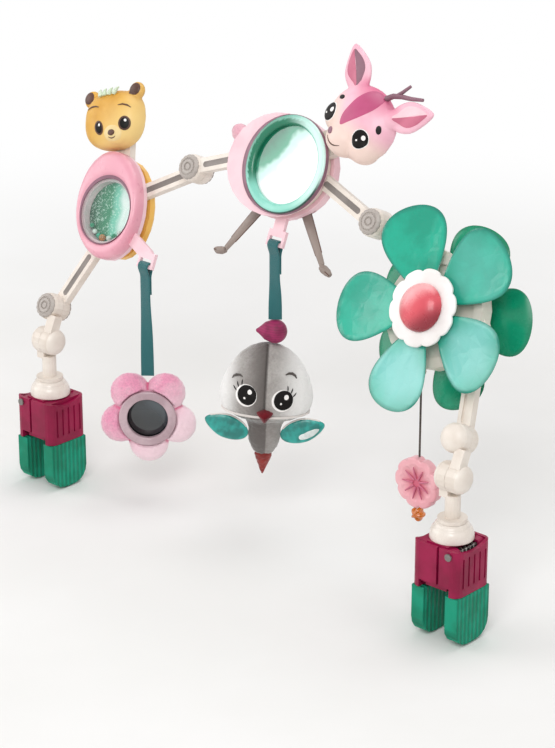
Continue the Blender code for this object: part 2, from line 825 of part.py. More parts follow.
def hinge_pin(name):
    """A rivet along Y through the jaw's cheeks and the housing's lugs."""
    face = CORE_LENGTH / 2 + CLEARANCE + CHEEK_WALL + CLEARANCE
    end = face + HINGE_HEAD_THICKNESS
    profile = (
        (0, end),
        (HINGE_HEAD_RADIUS, end),
        (HINGE_HEAD_RADIUS, face),
        (HINGE_RADIUS, face),
        (HINGE_RADIUS, -face),
        (HINGE_HEAD_RADIUS, -face),
        (HINGE_HEAD_RADIUS, -end),
        (0, -end),
    )
    return turned(name, profile, steps=PIN_STEPS, material=STEEL)


def spring(name):
    """A torsion spring round the hinge pin: a leg down the core, the coil, and a leg down the outer jaw."""
    reach = LUG_INNER - SPRING_WIRE
    turns = SPRING_TURNS * SPRING_POINTS + SPRING_POINTS // 2
    coil = []
    for i in range(turns + 1):
        angle = math.pi + math.tau * i / SPRING_POINTS
        y = -reach + 2 * reach * i / turns
        coil.append((SPRING_RADIUS * math.cos(angle), y, SPRING_RADIUS * math.sin(angle)))
    first = [(-SPRING_RADIUS, -reach, -SPRING_LEG)]
    last = [(SPRING_RADIUS + SPRING_FOOT_SPREAD, reach, -SPRING_LEG)]
    check_spring_gap(name, coil)
    return tube(name, first + coil + last, SPRING_WIRE / 2, 1, STEEL)


def check_spring_gap(name, coil):
    """Prints the least gap between the coil's turns, which lie at least half a turn apart."""
    spots = [Vector(point) for point in coil]
    apart = SPRING_POINTS // 2 + 1
    least = min(
        (first - second).length
        for i, first in enumerate(spots)
        for second in spots[i + apart:]
    )
    print(f"{name}: least gap {1000 * (least - SPRING_WIRE):.2f} mm")


def post(name):
    """The swivel post, with the tilt knuckle's half at its top. Its own origin is on the tilt axis."""
    stem = BORE_RADIUS - STEM_PLAY
    seat = DOME_TOP + CLEARANCE
    flange = seat + FLANGE_THICKNESS
    ridge = stem + GROOVE_DEPTH
    profile = (
        (0, TILT_HEIGHT - NECK_DROP),
        (NECK_RADIUS, TILT_HEIGHT - NECK_DROP),
        (NECK_RADIUS, flange),
        (DOME_TOP_RADIUS, flange),
        (DOME_TOP_RADIUS, seat),
        (stem, seat),
        (stem, GROOVE_HIGH - CLEARANCE),
        (ridge, GROOVE_HIGH - CLEARANCE),
        (ridge, GROOVE_LOW + CLEARANCE),
        (stem, GROOVE_LOW + CLEARANCE),
        (stem, BORE_FLOOR + CLEARANCE),
        (0, BORE_FLOOR + CLEARANCE),
    )
    piece = turned(name, [(radius, height - TILT_HEIGHT) for radius, height in profile], material=CREAM)
    low = (-BRIDGE_OUTER, -BRIDGE_HALF, -NECK_DROP - OVERRUN)
    join(
        piece,
        block("bridge", low, (-BRIDGE_INNER, BRIDGE_HALF, -BRIDGE_DROP)),
        lobe("tilt lobe", K1, -1, "X"),
    )
    bore_lobe(piece, K1, -1, "X")
    return piece


def short_link(name):
    """The link between a tilt knuckle and an arm knuckle, which lie at right angles."""
    low = (LINK_LOW, LINK_FOOT, LINK_LOW)
    piece = block(name, low, (LINK_HIGH, LINK_HEAD, LINK_HIGH), CREAM)
    join(piece, lobe("tilt lobe", K1, 1, "X"), lobe("arm lobe", K2, 1))
    bore_lobe(piece, K1, 1, "X")
    bore_lobe(piece, K2, 1)
    return piece


def flower_link():
    """The first arm: a round housing behind the petals, between the right arm knuckle and the deer's."""
    bore = AXLE_RADIUS + CLEARANCE
    inside = RIM_RADIUS - RIM_WIDTH
    profile = (
        (bore, RIM_FRONT),
        (BOSS_RADIUS, RIM_FRONT),
        (BOSS_RADIUS, RIM_FRONT - WEB_RECESS),
        (inside, RIM_FRONT - WEB_RECESS),
        (inside, RIM_FRONT),
        (RIM_RADIUS, RIM_FRONT),
        (RIM_RADIUS, -RIM_BACK),
        (bore, -RIM_BACK),
    )
    piece = turned("flower_link", profile, closed=True, steps=FINE_STEPS, material=CREAM)
    right, left = K2 - SPINNER, K3 - SPINNER
    right_end = Vector((RIM_RADIUS - RIM_WIDTH / 2, 0, 0))
    left_end = Vector((-RIM_WIDTH, RIM_RADIUS - RIM_WIDTH / 2, 0))
    for knuckle, end in ((right, right_end), (left, left_end)):
        add_bar(piece, knuckle, end, -LOBE_LEVEL)
        join(piece, lobe("arm lobe", knuckle, -1))
    join(piece, ball("pendant lug", [LUG_BALL_RADIUS] * 3, PENDANT_LUG, segments=10, rings=6))
    for knuckle, end in ((right, right_end), (left, left_end)):
        channel_bar(piece, knuckle, end, -LOBE_LEVEL, RIM_WIDTH * 2)
        bore_lobe(piece, knuckle, -1)
    return piece


def spinner_axle():
    """The axle of both wheels, with a head inside the collar and a domed cap behind."""
    front = RIM_FRONT + CLEARANCE + HUB_LENGTH + CLEARANCE
    back = -RIM_BACK - CLEARANCE - HUB_LENGTH - CLEARANCE
    profile = (
        (0, front + AXLE_HEAD_THICKNESS),
        (AXLE_HEAD_RADIUS, front + AXLE_HEAD_THICKNESS),
        (AXLE_HEAD_RADIUS, front),
        (AXLE_RADIUS, front),
        (AXLE_RADIUS, back),
        (AXLE_CAP_RADIUS, back),
        (AXLE_CAP_RADIUS, back - AXLE_CAP_HEIGHT / 2),
        (AXLE_CAP_RADIUS * AXLE_CAP_TOP_SHARE, back - AXLE_CAP_HEIGHT),
        (0, back - AXLE_CAP_HEIGHT),
    )
    return turned("spinner_axle", profile, material=STEEL)


def petal(name, reach, width):
    """A cupped leaf along +X, from a square grid rounded into a disc."""
    shape = bmesh.new()
    bmesh.ops.create_grid(shape, x_segments=PETAL_CELLS, y_segments=PETAL_CELLS, size=1)
    half = (reach - PETAL_ROOT) / 2
    for vert in shape.verts:
        x, y = vert.co.x, vert.co.y
        along, aside = x * math.sqrt(1 - y * y / 2), y * math.sqrt(1 - x * x / 2)
        side = width / 2 * aside * (PETAL_BASE_SHARE + PETAL_TIP_SHARE * along)
        cup = PETAL_DISH * (along * along + aside * aside) * (1 + along) / 2
        vert.co = (PETAL_ROOT + half * (1 + along), side, cup + side * math.tan(PETAL_PITCH))
    made = solid(name, shape, None)
    shell = made.modifiers.new("wall", "SOLIDIFY")
    shell.thickness = PETAL_THICKNESS
    shell.offset = 0
    return made


def petal_wheel(name, reach, width, phase, material):
    """A hub on the axle with its petals. Its own Z runs from the housing outwards."""
    bore = AXLE_RADIUS + AXLE_PLAY
    low, high = PETAL_HEIGHT - HUB_FLANGE_THICKNESS / 2, PETAL_HEIGHT + HUB_FLANGE_THICKNESS / 2
    profile = (
        (bore, HUB_LENGTH),
        (HUB_RADIUS, HUB_LENGTH),
        (HUB_RADIUS, high),
        (HUB_FLANGE_RADIUS, high),
        (HUB_FLANGE_RADIUS, low),
        (HUB_RADIUS, low),
        (HUB_RADIUS, 0),
        (bore, 0),
    )
    piece = turned(name, profile, closed=True, steps=FINE_STEPS, material=material)
    for i in range(PETALS):
        leaf = petal("petal", reach, width)
        leaf.location.z = PETAL_HEIGHT
        leaf.rotation_euler.z = phase + math.tau * i / PETALS
        join(piece, leaf)
    return piece


def flower_collar(level):
    bore = AXLE_HEAD_RADIUS + COLLAR_PLAY
    hole = oval(bore, bore, steps=STEPS)
    outline = scallops(COLLAR_RADIUS, COLLAR_NOTCH, COLLAR_LOBES)
    return prism("flower_collar", outline, level, level + COLLAR_THICKNESS, hole, WHITE)


def dome_profile(radius, height, level):
    """A low dome's quarter ellipse, from its crown to its flat foot."""
    points = []
    for i in range(DOME_ROWS + 1):
        angle = math.pi / 2 * (1 - i / DOME_ROWS)
        points.append((radius * math.cos(angle) if i else 0, level + height * math.sin(angle)))
    points.append((0, level))
    return points


def build_clamp(side, clamp):
    """The pieces of one clamp, in its own frame: +X is outwards, along the span."""
    housing(side, clamp)
    fixed = jaw(f"{side}_inner_jaw", -FIXED_CHEEK_EDGE, False)
    put(fixed, clamp, turn=(0, 0, math.pi))
    put(pad(f"{side}_inner_pad"), clamp, turn=(0, 0, math.pi))
    hinge = axis_empty(f"{side}_jaw_axis", clamp, (HINGE_X, 0, HINGE_Z))
    back = Vector((-HINGE_X, 0, -HINGE_Z))
    put(jaw(f"{side}_outer_jaw", CHEEK_EDGE, True), hinge, back)
    put(pad(f"{side}_outer_pad"), hinge, back)
    put(hinge_pin(f"{side}_hinge_pin"), clamp, (HINGE_X, 0, HINGE_Z), (math.pi / 2, 0, 0))
    put(spring(f"{side}_spring"), clamp, (HINGE_X, 0, HINGE_Z))


def build_spinner(arm):
    """The flower arm, its axle, its two wheels and the front wheel's collar and dome."""
    at = SPINNER - K2
    put(flower_link(), arm, at)
    put(spinner_axle(), arm, at)
    front = axis_empty("front_petal_axis", arm, at)
    rear = axis_empty("rear_petal_axis", arm, at)
    wheel = petal_wheel("front_petal_wheel", FRONT_REACH, FRONT_PETAL_WIDTH, FRONT_PHASE, TEAL)
    put(wheel, front, (0, 0, RIM_FRONT + CLEARANCE))
    wheel = petal_wheel("rear_petal_wheel", REAR_REACH, REAR_PETAL_WIDTH, REAR_PHASE, GREEN)
    put(wheel, rear, (0, 0, -RIM_BACK - CLEARANCE), (math.pi, 0, 0))
    seat = RIM_FRONT + CLEARANCE + HUB_LENGTH + CLEARANCE
    put(flower_collar(seat), front)
    crown = dome_profile(FLOWER_DOME_RADIUS, FLOWER_DOME_HEIGHT, seat + COLLAR_THICKNESS + CLEARANCE)
    put(turned("flower_dome", crown, steps=FINE_STEPS, material=CORAL), front)


def build_pendant(arm):
    """A disc and a bead on a cord, hung upright from the spinner's lug."""
    swing = axis_empty("pendant_axis", arm, SPINNER - K2 + PENDANT_LUG, UPRIGHT)
    top = -LUG_BALL_RADIUS - CLEARANCE
    bottom = top - PENDANT_LENGTH
    route = [(0, 0, top + (bottom - top) * i / PENDANT_POINTS) for i in range(PENDANT_POINTS + 1)]
    put(tube("pendant_cord", route, CORD_RADIUS, 2, CORD_FINISH), swing)
    centre = bottom - CLEARANCE - PENDANT_RADIUS
    half = PENDANT_THICKNESS / 2
    outline = scallops(PENDANT_RADIUS, PENDANT_NOTCH, PENDANT_LOBES)
    disc = prism("pendant_disc", outline, -half, half, material=CORAL)
    put(disc, swing, (0, 0, centre), (FACING, 0, 0))
    drop = centre - PENDANT_RADIUS - CLEARANCE - BEAD_RADIUS
    bead = ball("pendant_bead", [BEAD_RADIUS] * 3, segments=10, rings=6, material=AMBER)
    put(bead, swing, (0, 0, drop))


def add_tab(piece, bar, root, level):
    """A slotted tab whose lower bar is centred at a place, with an arm up to its root inside the piece."""
    low, high = level - TAB_THICKNESS / 2, level + TAB_THICKNESS / 2
    foot = bar.y - TAB_BAR / 2
    top = bar.y + TAB_BAR / 2 + TAB_SLOT_HEIGHT + TAB_MARGIN
    half = TAB_WIDTH / 2
    join(piece, block("tab", (bar.x - half, foot, low), (bar.x + half, top, high)))
    arm_start = (bar.x, top - TAB_MARGIN / 2)
    join(piece, prism("tab arm", taper(arm_start, TAB_MARGIN, root, TAB_MARGIN), low, high))


def slot_tab(piece, bar, level):
    foot = bar.y + TAB_BAR / 2
    half = TAB_SLOT_WIDTH / 2
    first = (bar.x - half, foot, level - TAB_THICKNESS)
    last = (bar.x + half, foot + TAB_SLOT_HEIGHT, level + TAB_THICKNESS)
    cut(piece, block("slot", first, last))


def back_shell(name, half_width, half_height, front, depth, edge, tilt, material):
    """A shallow oval shell with a rounded back, from its flat front face."""
    profile = (
        (0, front),
        (half_width, front),
        (half_width, front - depth + edge * EDGE_SIDE_SHARE),
        (half_width - edge * EDGE_INSET_SHARE, front - depth + edge * EDGE_BACK_SHARE),
        (half_width - edge, front - depth),
        (0, front - depth),
    )
    made = turned(name, profile, steps=FINE_STEPS, material=material)
    made.scale.y = half_height / half_width
    made = baked(made)
    made.data.transform(Matrix.Rotation(tilt, 4, "Z"))
    return made


def deer_link():
    """The middle arm: an oval plate between the deer's shells, two bars and a neck."""
    inset = PLATE_INSET
    outline = oval(DEER_HALF_WIDTH - inset, DEER_HALF_HEIGHT - inset)
    piece = prism("deer_link", outline, PLATE_BACK, PLATE_FACE, material=CREAM)
    right, left = K3 - DEER, K4 - DEER
    reach = DEER_HALF_WIDTH * DEER_BAR_SHARE
    right_end, left_end = Vector((reach, 0, 0)), Vector((-reach, 0, 0))
    for knuckle, end in ((right, right_end), (left, left_end)):
        add_bar(piece, knuckle, end, LOBE_LEVEL)
        join(piece, lobe("arm lobe", knuckle, 1))
    neck = across(DEER_HEAD_SHIFT).normalized() * (NECK_REACH - NECK_WIDTH / 2)
    join(piece, prism("neck", taper((0, 0), NECK_WIDTH / 2, neck, NECK_WIDTH / 2), PLATE_BACK, PLATE_FACE))
    for knuckle in (right, left):
        bore_lobe(piece, knuckle, 1)
    return piece


def deer_back_shell():
    front = PLATE_BACK - CLEARANCE
    piece = back_shell(
        "deer_back_shell", DEER_HALF_WIDTH, DEER_HALF_HEIGHT, front, DEER_BACK_DEPTH, DEER_BACK_ROUND, 0, PINK
    )
    bar = across(DEER_TAB_SHIFT)
    add_tab(piece, bar, (bar.x, -DEER_HALF_HEIGHT * DEER_TAB_ROOT_SHARE), DEER_TAB_LEVEL)
    slot_tab(piece, bar, DEER_TAB_LEVEL)
    half = LEG_THICKNESS / 2 + CLEARANCE
    outline = taper((0, 0), HIP_SLOT_RADIUS, (0, -HIP_SLOT_DEPTH), HIP_SLOT_RADIUS)
    bore = TRUNNION_RADIUS + CLEARANCE
    hole = TRUNNION_LENGTH / 2 + CLEARANCE
    low, high = -LEG_LEVEL - hole, -LEG_LEVEL + hole
    for side in HIP_SHARES:
        slot = prism("leg slot", outline, -LEG_LEVEL - half, -LEG_LEVEL + half)
        slot.location = hip(side)
        slot.rotation_euler.z = LEG_SPLAYS[side]
        cut(piece, slot, drum("hip hole", bore, low, high, hip(side), steps=PIN_STEPS))
    return piece


def hip(side):
    """Where a leg turns, from the middle of the deer's body."""
    wide, high = HIP_SHARES[side]
    return Vector((wide * DEER_HALF_WIDTH, high * DEER_HALF_HEIGHT, 0))


def deer_leg(side):
    """A leg that hangs from its trunnion in the back shell."""
    half = LEG_THICKNESS / 2
    tip = (0, -LEG_LENGTH)
    outline = taper((0, 0), LEG_TOP_RADIUS, tip, LEG_TIP_RADIUS)
    piece = prism(f"deer_{side}_leg", outline, -LEG_LEVEL - half, -LEG_LEVEL + half, material=TAUPE)
    trunnion = TRUNNION_LENGTH / 2
    join(
        piece,
        drum("trunnion", TRUNNION_RADIUS, -LEG_LEVEL - trunnion, -LEG_LEVEL + trunnion, steps=PIN_STEPS),
        ball("hoof", HOOF, across(tip, -LEG_LEVEL), segments=10, rings=6),
    )
    return piece


def deer_front_shell():
    low = PLATE_FACE + CLEARANCE
    high = low + DEER_FRONT_DEPTH
    outline = oval(DEER_HALF_WIDTH, DEER_HALF_HEIGHT)
    piece = prism("deer_front_shell", outline, low, high, material=PINK)
    well = high - MIRROR_THICKNESS - CLEARANCE
    seat = MIRROR_RADIUS + CLEARANCE
    cut(piece, drum("mirror well", seat, well, high + OVERRUN, across(MIRROR_SHIFT), steps=FINE_STEPS))
    return piece


def bezel_profile(inner, outer, low, height, edge):
    """A ring's closed profile with a rounded face."""
    high = low + height
    return (
        (inner + edge, high),
        (outer - edge, high),
        (outer, high - edge),
        (outer, low),
        (inner, low),
        (inner, high - edge),
    )


def deer_head():
    """The head, flat behind, with a muzzle, two ears and a twig."""
    back = PLATE_FACE + CLEARANCE
    piece = ball("deer_head", DEER_SKULL, (0, 0, back), segments=16, rings=10, material=HEAD_PINK)
    join(piece, ball("muzzle", MUZZLE, across(MUZZLE_SHIFT, back + MUZZLE[2] / 2), segments=12, rings=8))
    for side in (-1, 1):
        turn = -side * EAR_SPREAD
        spot = turned_shift((0, EAR_REACH), turn)
        join(piece, ball("ear", EAR, across(spot, back + EAR_LEVEL), turn, segments=10, rings=6))
    root, tip, fork = Vector(TWIG_ROOT), Vector(TWIG_TIP), Vector(TWIG_FORK)
    branch = root.lerp(tip, TWIG_FORK_SHARE)
    low, high = back + TWIG_LOW, back + TWIG_HIGH
    inset = (high - low) * FORK_INSET_SHARE
    join(
        piece,
        prism("twig", taper(root, TWIG_RADIUS, tip, TWIG_TIP_RADIUS), low, high),
        prism("fork", taper(branch, TWIG_TIP_RADIUS, fork, TWIG_TIP_RADIUS), low + inset, high - inset),
    )
    cut(piece, face_cutter(back, DEER_SKULL[0] * 3, DEER_SKULL[2] * 2))
    return piece


def face_cutter(level, reach, depth):
    """Everything behind a flat back."""
    return block("flat back", (-reach, -reach, level - depth), (reach, reach, level))


def deer_tail():
    at = Vector((-DEER_HALF_WIDTH - TAIL_OUTSET, DEER_HALF_HEIGHT * TAIL_HEIGHT_SHARE, -LOBE_LEVEL))
    piece = ball("deer_tail", TAIL, at, TAIL_TURN, segments=12, rings=6, material=PINK)
    outline = oval(DEER_HALF_WIDTH + CLEARANCE, DEER_HALF_HEIGHT + CLEARANCE)
    cut(piece, prism("body", outline, -LOBE_LEVEL - 2 * TAIL[2], -LOBE_LEVEL + 2 * TAIL[2]))
    return piece


def build_deer(arm):
    at = DEER - K3
    put(deer_link(), arm, at)
    put(deer_back_shell(), arm, at)
    put(deer_front_shell(), arm, at)
    put(deer_tail(), arm, at)
    high = PLATE_FACE + CLEARANCE + DEER_FRONT_DEPTH
    low = high - MIRROR_THICKNESS
    glass = drum("deer_mirror", MIRROR_RADIUS, low, high, steps=FINE_STEPS, material=MIRROR_GLASS)
    put(glass, arm, at + across(MIRROR_SHIFT))
    profile = bezel_profile(BEZEL_INNER_RADIUS, BEZEL_RADIUS, high + CLEARANCE, BEZEL_HEIGHT, BEZEL_ROUND)
    ring = turned("deer_bezel", profile, closed=True, steps=FINE_STEPS, material=MINT)
    put(ring, arm, at + across(MIRROR_SHIFT))
    put(deer_head(), arm, at + across(DEER_HEAD_SHIFT), (0, 0, DEER_HEAD_TILT))
    for side in HIP_SHARES:
        swing = axis_empty(f"{side}_hip_axis", arm, at + hip(side))
        put(deer_leg(side), swing, turn=(0, 0, LEG_SPLAYS[side]))


def bear_link():
    """The last arm: a plate between the bear's shells, two bars and a neck."""
    width, height = BEAR_HALF_WIDTH - BEAR_PLATE_INSET, BEAR_HALF_HEIGHT - BEAR_PLATE_INSET
    piece = prism("bear_link", oval(width, height, BEAR_TILT), -PLATE_FACE, -PLATE_BACK, material=CREAM)
    right, left = K4 - BEAR, K5 - BEAR
    ends = [Vector((width * share, height * rise, 0)) for share, rise in BEAR_BAR_SHARES]
    for knuckle, end in zip((right, left), ends):
        add_bar(piece, knuckle, end, -LOBE_LEVEL)
        join(piece, lobe("arm lobe", knuckle, -1))
    neck = turned_shift((0, BEAR_NECK_REACH - BEAR_NECK_WIDTH / 2), BEAR_TILT)
    outline = taper((0, 0), BEAR_NECK_WIDTH / 2, neck, BEAR_NECK_WIDTH / 2)
    join(piece, prism("neck", outline, -PLATE_FACE, -PLATE_BACK))
    for knuckle in (right, left):
        bore_lobe(piece, knuckle, -1)
    return piece


def bear_front_shell():
    """The pink front, with the window's well and the strap tab."""
    low = -PLATE_BACK + CLEARANCE
    high = low + BEAR_FRONT_DEPTH
    outline = oval(BEAR_HALF_WIDTH, BEAR_HALF_HEIGHT, BEAR_TILT)
    piece = prism("bear_front_shell", outline, low, high, material=PINK)
    bar = across(BEAR_TAB_SHIFT)
    add_tab(piece, bar, bar * BEAR_TAB_ROOT_SHARE, BEAR_TAB_LEVEL)
    slot_tab(piece, bar, BEAR_TAB_LEVEL)
    well = high - WELL_DEPTH
    cut(piece, drum("window well", WELL_RADIUS, well, high + OVERRUN, across(WINDOW_SHIFT), steps=FINE_STEPS))
    return piece


def bear_window(level):
    """A clear dome with a flat rim."""
    rim, crown = level + WINDOW_RIM, level + WINDOW_CROWN
    inside = WINDOW_RADIUS - WINDOW_LAND
    outer = [(inside * share, crown - WINDOW_WALL * walls) for share, walls in WINDOW_OUTER_SHARES]
    inner = [(inside * share, crown - WINDOW_WALL * walls) for share, walls in WINDOW_INNER_SHARES]
    edge = [(inside + WINDOW_WALL, rim), (WINDOW_RADIUS, rim), (WINDOW_RADIUS, level), (inside, level)]
    profile = outer + edge + inner
    return turned("bear_window", profile, steps=FINE_STEPS, material=CLEAR)


def bear_head():
    """The head, flat behind, with two round ears."""
    back = -PLATE_BACK + CLEARANCE
    level = back + BEAR_SKULL_LEVEL
    piece = ball("bear_head", BEAR_SKULL, (0, 0, level), segments=16, rings=10, material=YELLOW)
    for side in (-1, 1):
        spot = (side * BEAR_EAR_SHIFT[0], BEAR_EAR_SHIFT[1], level)
        join(piece, ball("ear", BEAR_EAR, spot, segments=10, rings=6))
    cut(piece, face_cutter(back, BEAR_SKULL[0] * 3, BEAR_SKULL[2] * 2))
    return piece


def build_bear(arm):
    at = BEAR - K4
    put(bear_link(), arm, at)
    put(bear_front_shell(), arm, at)
    shell = back_shell(
        "bear_back_shell",
        BEAR_HALF_WIDTH - BEAR_BACK_INSET,
        BEAR_HALF_HEIGHT - BEAR_BACK_INSET,
        -PLATE_FACE - CLEARANCE,
        BEAR_BACK_DEPTH,
        BEAR_BACK_ROUND,
        BEAR_TILT,
        YELLOW,
    )
    put(shell, arm, at)
    window = at + across(WINDOW_SHIFT)
    face = -PLATE_BACK + CLEARANCE + BEAR_FRONT_DEPTH
    floor = face - WELL_DEPTH + CLEARANCE
    top = floor + INSERT_THICKNESS
    insert = drum("bear_insert", WELL_RADIUS - CLEARANCE, floor, top, steps=FINE_STEPS, material=EMERALD)
    put(insert, arm, window)
    put(bear_window(face + CLEARANCE), arm, window)
    low = WELL_RADIUS - RATTLE_RADIUS - CLEARANCE
    bead = ball("rattle_bead", [RATTLE_RADIUS] * 3, segments=10, rings=6, material=AMBER)
    put(bead, arm, window + Vector((0, -low, top + CLEARANCE + RATTLE_RADIUS)))
    put(bear_head(), arm, at + turned_shift((0, BEAR_HEAD_REACH), BEAR_TILT), (0, 0, BEAR_TILT))


def smooth(share):
    """Eases from 0 to 1."""
    share = min(max(share, 0), 1)
    return share * share * (3 - 2 * share)


def strap_stations(length):
    """The strap's rows from its tail, up behind the tab's bar, over it, and down to the toy.

    Each row is a place and the direction of the strap's width there.
    """
    ring = TAB_BAR / math.sqrt(2) + STRAP_PLAY + STRAP_THICKNESS / 2
    straight = Vector((1, 0, 0))
    rows = []
    for share in TAIL_SHARES:
        height = -STRAP_TAIL + (STRAP_TAIL - STRAP_PINCH) * share
        rows.append((Vector((0, STRAP_TAIL_SET, height)), straight))
    for share in BACK_PINCH_SHARES:
        y = STRAP_TAIL_SET + (ring - STRAP_TAIL_SET) * smooth(share)
        rows.append((Vector((0, y, -STRAP_PINCH * (1 - share))), straight))
    for i in range(ARC_ROWS):
        angle = math.pi * i / (ARC_ROWS - 1)
        rows.append((Vector((0, ring * math.cos(angle), ring * math.sin(angle))), straight))
    for share in FRONT_PINCH_SHARES:
        y = -ring + (ring - STRAP_FRONT_SET) * smooth(share)
        rows.append((Vector((0, y, -STRAP_PINCH * share)), straight))
    rows.append((Vector((0, -STRAP_FRONT_SET, -STRAP_TAIL)), straight))
    for i in range(1, TWIST_ROWS + 1):
        share = i / TWIST_ROWS
        height = -STRAP_TAIL - (length - STRAP_TAIL) * share
        turn = TOY_TURN * smooth(share)
        y = -STRAP_FRONT_SET * (1 - smooth(2 * share))
        rows.append((Vector((0, y, height)), Vector((math.cos(turn), math.sin(turn), 0))))
    return rows


def strap(name, length):
    """A webbing strap: a two-cell wide sheet through its rows, given its thickness."""
    rows = strap_stations(length)
    shape = bmesh.new()
    bmesh.ops.create_grid(shape, x_segments=2, y_segments=len(rows) - 1, size=1)
    for vert in shape.verts:
        row = round((vert.co.y + 1) / 2 * (len(rows) - 1))
        place, width = rows[row]
        vert.co = place + width * (vert.co.x * STRAP_WIDTH / 2)
    made = solid(name, shape, WEBBING)
    wall = made.modifiers.new("thickness", "SOLIDIFY")
    wall.thickness = STRAP_THICKNESS
    wall.offset = 0
    return made


def bird_profile(grow=0.0):
    """The bird's outline from its crown, grown by a clearance for a cutter."""
    top = BIRD_TUCK - BIRD_BALL_RADIUS - CLEARANCE
    points = []
    for radius_share, height_share in BIRD_PROFILE_SHARES:
        middle = 1 + 2 * height_share
        radius = radius_share * BIRD_RADIUS + (grow if radius_share else 0)
        points.append((radius, top + BIRD_HEIGHT * height_share + grow * middle))
    return points


def bird_body(name, grow=0.0, material=None):
    made = turned(name, bird_profile(grow), steps=FINE_STEPS, material=material)
    made.scale.y = BIRD_DEPTH_SHARE
    return baked(made)


def bird_knot(name, grow=0.0, centre=(0, 0, 0), material=None):
    """The ball that the strap ends in, grown by a clearance for a cutter."""
    return ball(name, [BIRD_BALL_RADIUS + grow] * 3, centre, segments=14, rings=8, material=material)


def bird_cutter():
    return bird_body("body", CLEARANCE / BIRD_DEPTH_SHARE)


def bird_wing(side):
    """A satin leaf beside the body, cut by it."""
    out = -1 if side == "left" else 1
    leaf = ball(f"bird_{side}_wing", WING, turn=out * WING_TURN, segments=14, rings=6, material=SATIN_TEAL)
    leaf.data.transform(Matrix.Rotation(FACING, 4, "X"))
    leaf.data.transform(Matrix.Translation((out * WING_SHIFT[0], -WING_LEVEL, WING_SHIFT[1])))
    cut(leaf, bird_cutter())
    return leaf


def bird_beak():
    """A cone out of the bird's face."""
    front = BIRD_RADIUS * BIRD_DEPTH_SHARE
    half = BEAK_LENGTH / 2
    at = (0, 0, -BEAK_DROP)
    made = drum(
        "bird_beak", BEAK_TIP_RADIUS, -front - half, half - front, at, "Y", tip=BEAK_RADIUS, material=DARK_RED
    )
    cut(made, bird_cutter())
    return made


def bird_tail():
    """A pointed tuft under the body."""
    foot = BIRD_TUCK - BIRD_BALL_RADIUS - CLEARANCE - BIRD_HEIGHT
    made = drum(
        "bird_tail", BIRD_TAIL_TIP_RADIUS, foot - BIRD_TAIL_LENGTH, foot + BIRD_TAIL_ROOT,
        tip=BIRD_TAIL_RADIUS, steps=PIN_STEPS, material=RUST,
    )
    made.data.transform(Matrix.Diagonal((1, BIRD_DEPTH_SHARE, 1, 1)))
    cut(made, bird_cutter())
    return made


def build_bird(arm):
    bar = DEER - K3 + across(DEER_TAB_SHIFT, DEER_TAB_LEVEL)
    swing = axis_empty("bird_axis", arm, bar, UPRIGHT)
    put(strap("bird_strap", BIRD_DROP - BIRD_BALL_RADIUS - CLEARANCE), swing)
    knot = bird_knot("bird_ball", material=FUCHSIA)
    root, tip, reach = BIRD_CREST
    join(knot, drum("crest", tip, -reach, 0, axis="X", tip=root, steps=12))
    at, turn = Vector((0, 0, -BIRD_DROP)), (0, BIRD_LEAN, TOY_TURN)
    put(knot, swing, at, turn)
    aside = at - Vector((math.cos(TOY_TURN), math.sin(TOY_TURN), 0)) * BIRD_OFFSET
    body = bird_body("bird_body", material=PLUSH_GREY)
    centre = (BIRD_OFFSET * math.cos(BIRD_LEAN), 0, BIRD_OFFSET * math.sin(BIRD_LEAN))
    cut(body, bird_knot("knot", CLEARANCE, centre))
    for piece in (body, bird_wing("left"), bird_wing("right"), bird_beak(), bird_tail()):
        put(piece, swing, aside, turn)


def flower_toy_pad():
    """A stuffed flower with a seat for its ring and mirror."""
    depth = LOBE_HALF_DEPTH
    radii = (LOBE_RADIUS, LOBE_RADIUS, depth)
    heart = (HEART_RADIUS, HEART_RADIUS, depth - CLEARANCE)
    piece = ball("flower_toy_pad", heart, segments=16, rings=6, material=PLUSH_PINK)
    for i in range(FLOWER_TOY_LOBES):
        angle = LOBE_PHASE + math.tau * i / FLOWER_TOY_LOBES
        spot = (LOBE_CENTRE_RADIUS * math.cos(angle), LOBE_CENTRE_RADIUS * math.sin(angle), 0)
        join(piece, ball("lobe", radii, spot, angle, segments=12, rings=TOY_LOBE_RINGS))
    floor = RING_SEAT - CLEARANCE - TOY_MIRROR_THICKNESS - CLEARANCE
    top = depth + OVERRUN
    cut(
        piece,
        drum("ring seat", RING_RADIUS + CLEARANCE, RING_SEAT, top, steps=FINE_STEPS),
        drum("mirror seat", TOY_MIRROR_RADIUS + CLEARANCE, floor, top, steps=FINE_STEPS),
    )
    return piece


def build_flower_toy(arm):
    bar = BEAR - K4 + across(BEAR_TAB_SHIFT, BEAR_TAB_LEVEL)
    swing = axis_empty("flower_toy_axis", arm, bar, UPRIGHT)
    at, turn = (0, 0, -FLOWER_TOY_DROP), (FACING, 0, TOY_TURN)
    put(flower_toy_pad(), swing, at, turn)
    upper = math.pi - LOBE_PHASE
    beside = LOBE_CENTRE_RADIUS * math.cos(upper) - STRAP_WIDTH / 2
    widest = LOBE_RADIUS * math.cos(math.pi / 2 / TOY_LOBE_RINGS)
    valley = LOBE_CENTRE_RADIUS * math.sin(upper) + math.sqrt(widest ** 2 - beside ** 2)
    put(strap("flower_toy_strap", FLOWER_TOY_DROP - valley - CLEARANCE), swing)
    foot = RING_SEAT + CLEARANCE
    profile = bezel_profile(RING_INNER_RADIUS, RING_RADIUS, foot, RING_THICKNESS, RING_ROUND)
    ring = turned("flower_toy_ring", profile, closed=True, steps=FINE_STEPS, material=SILVER_RING)
    put(ring, swing, at, turn)
    high = RING_SEAT - CLEARANCE
    low = high - TOY_MIRROR_THICKNESS
    glass = drum("flower_toy_mirror", TOY_MIRROR_RADIUS, low, high, steps=FINE_STEPS, material=DARK_MIRROR)
    put(glass, swing, at, turn)


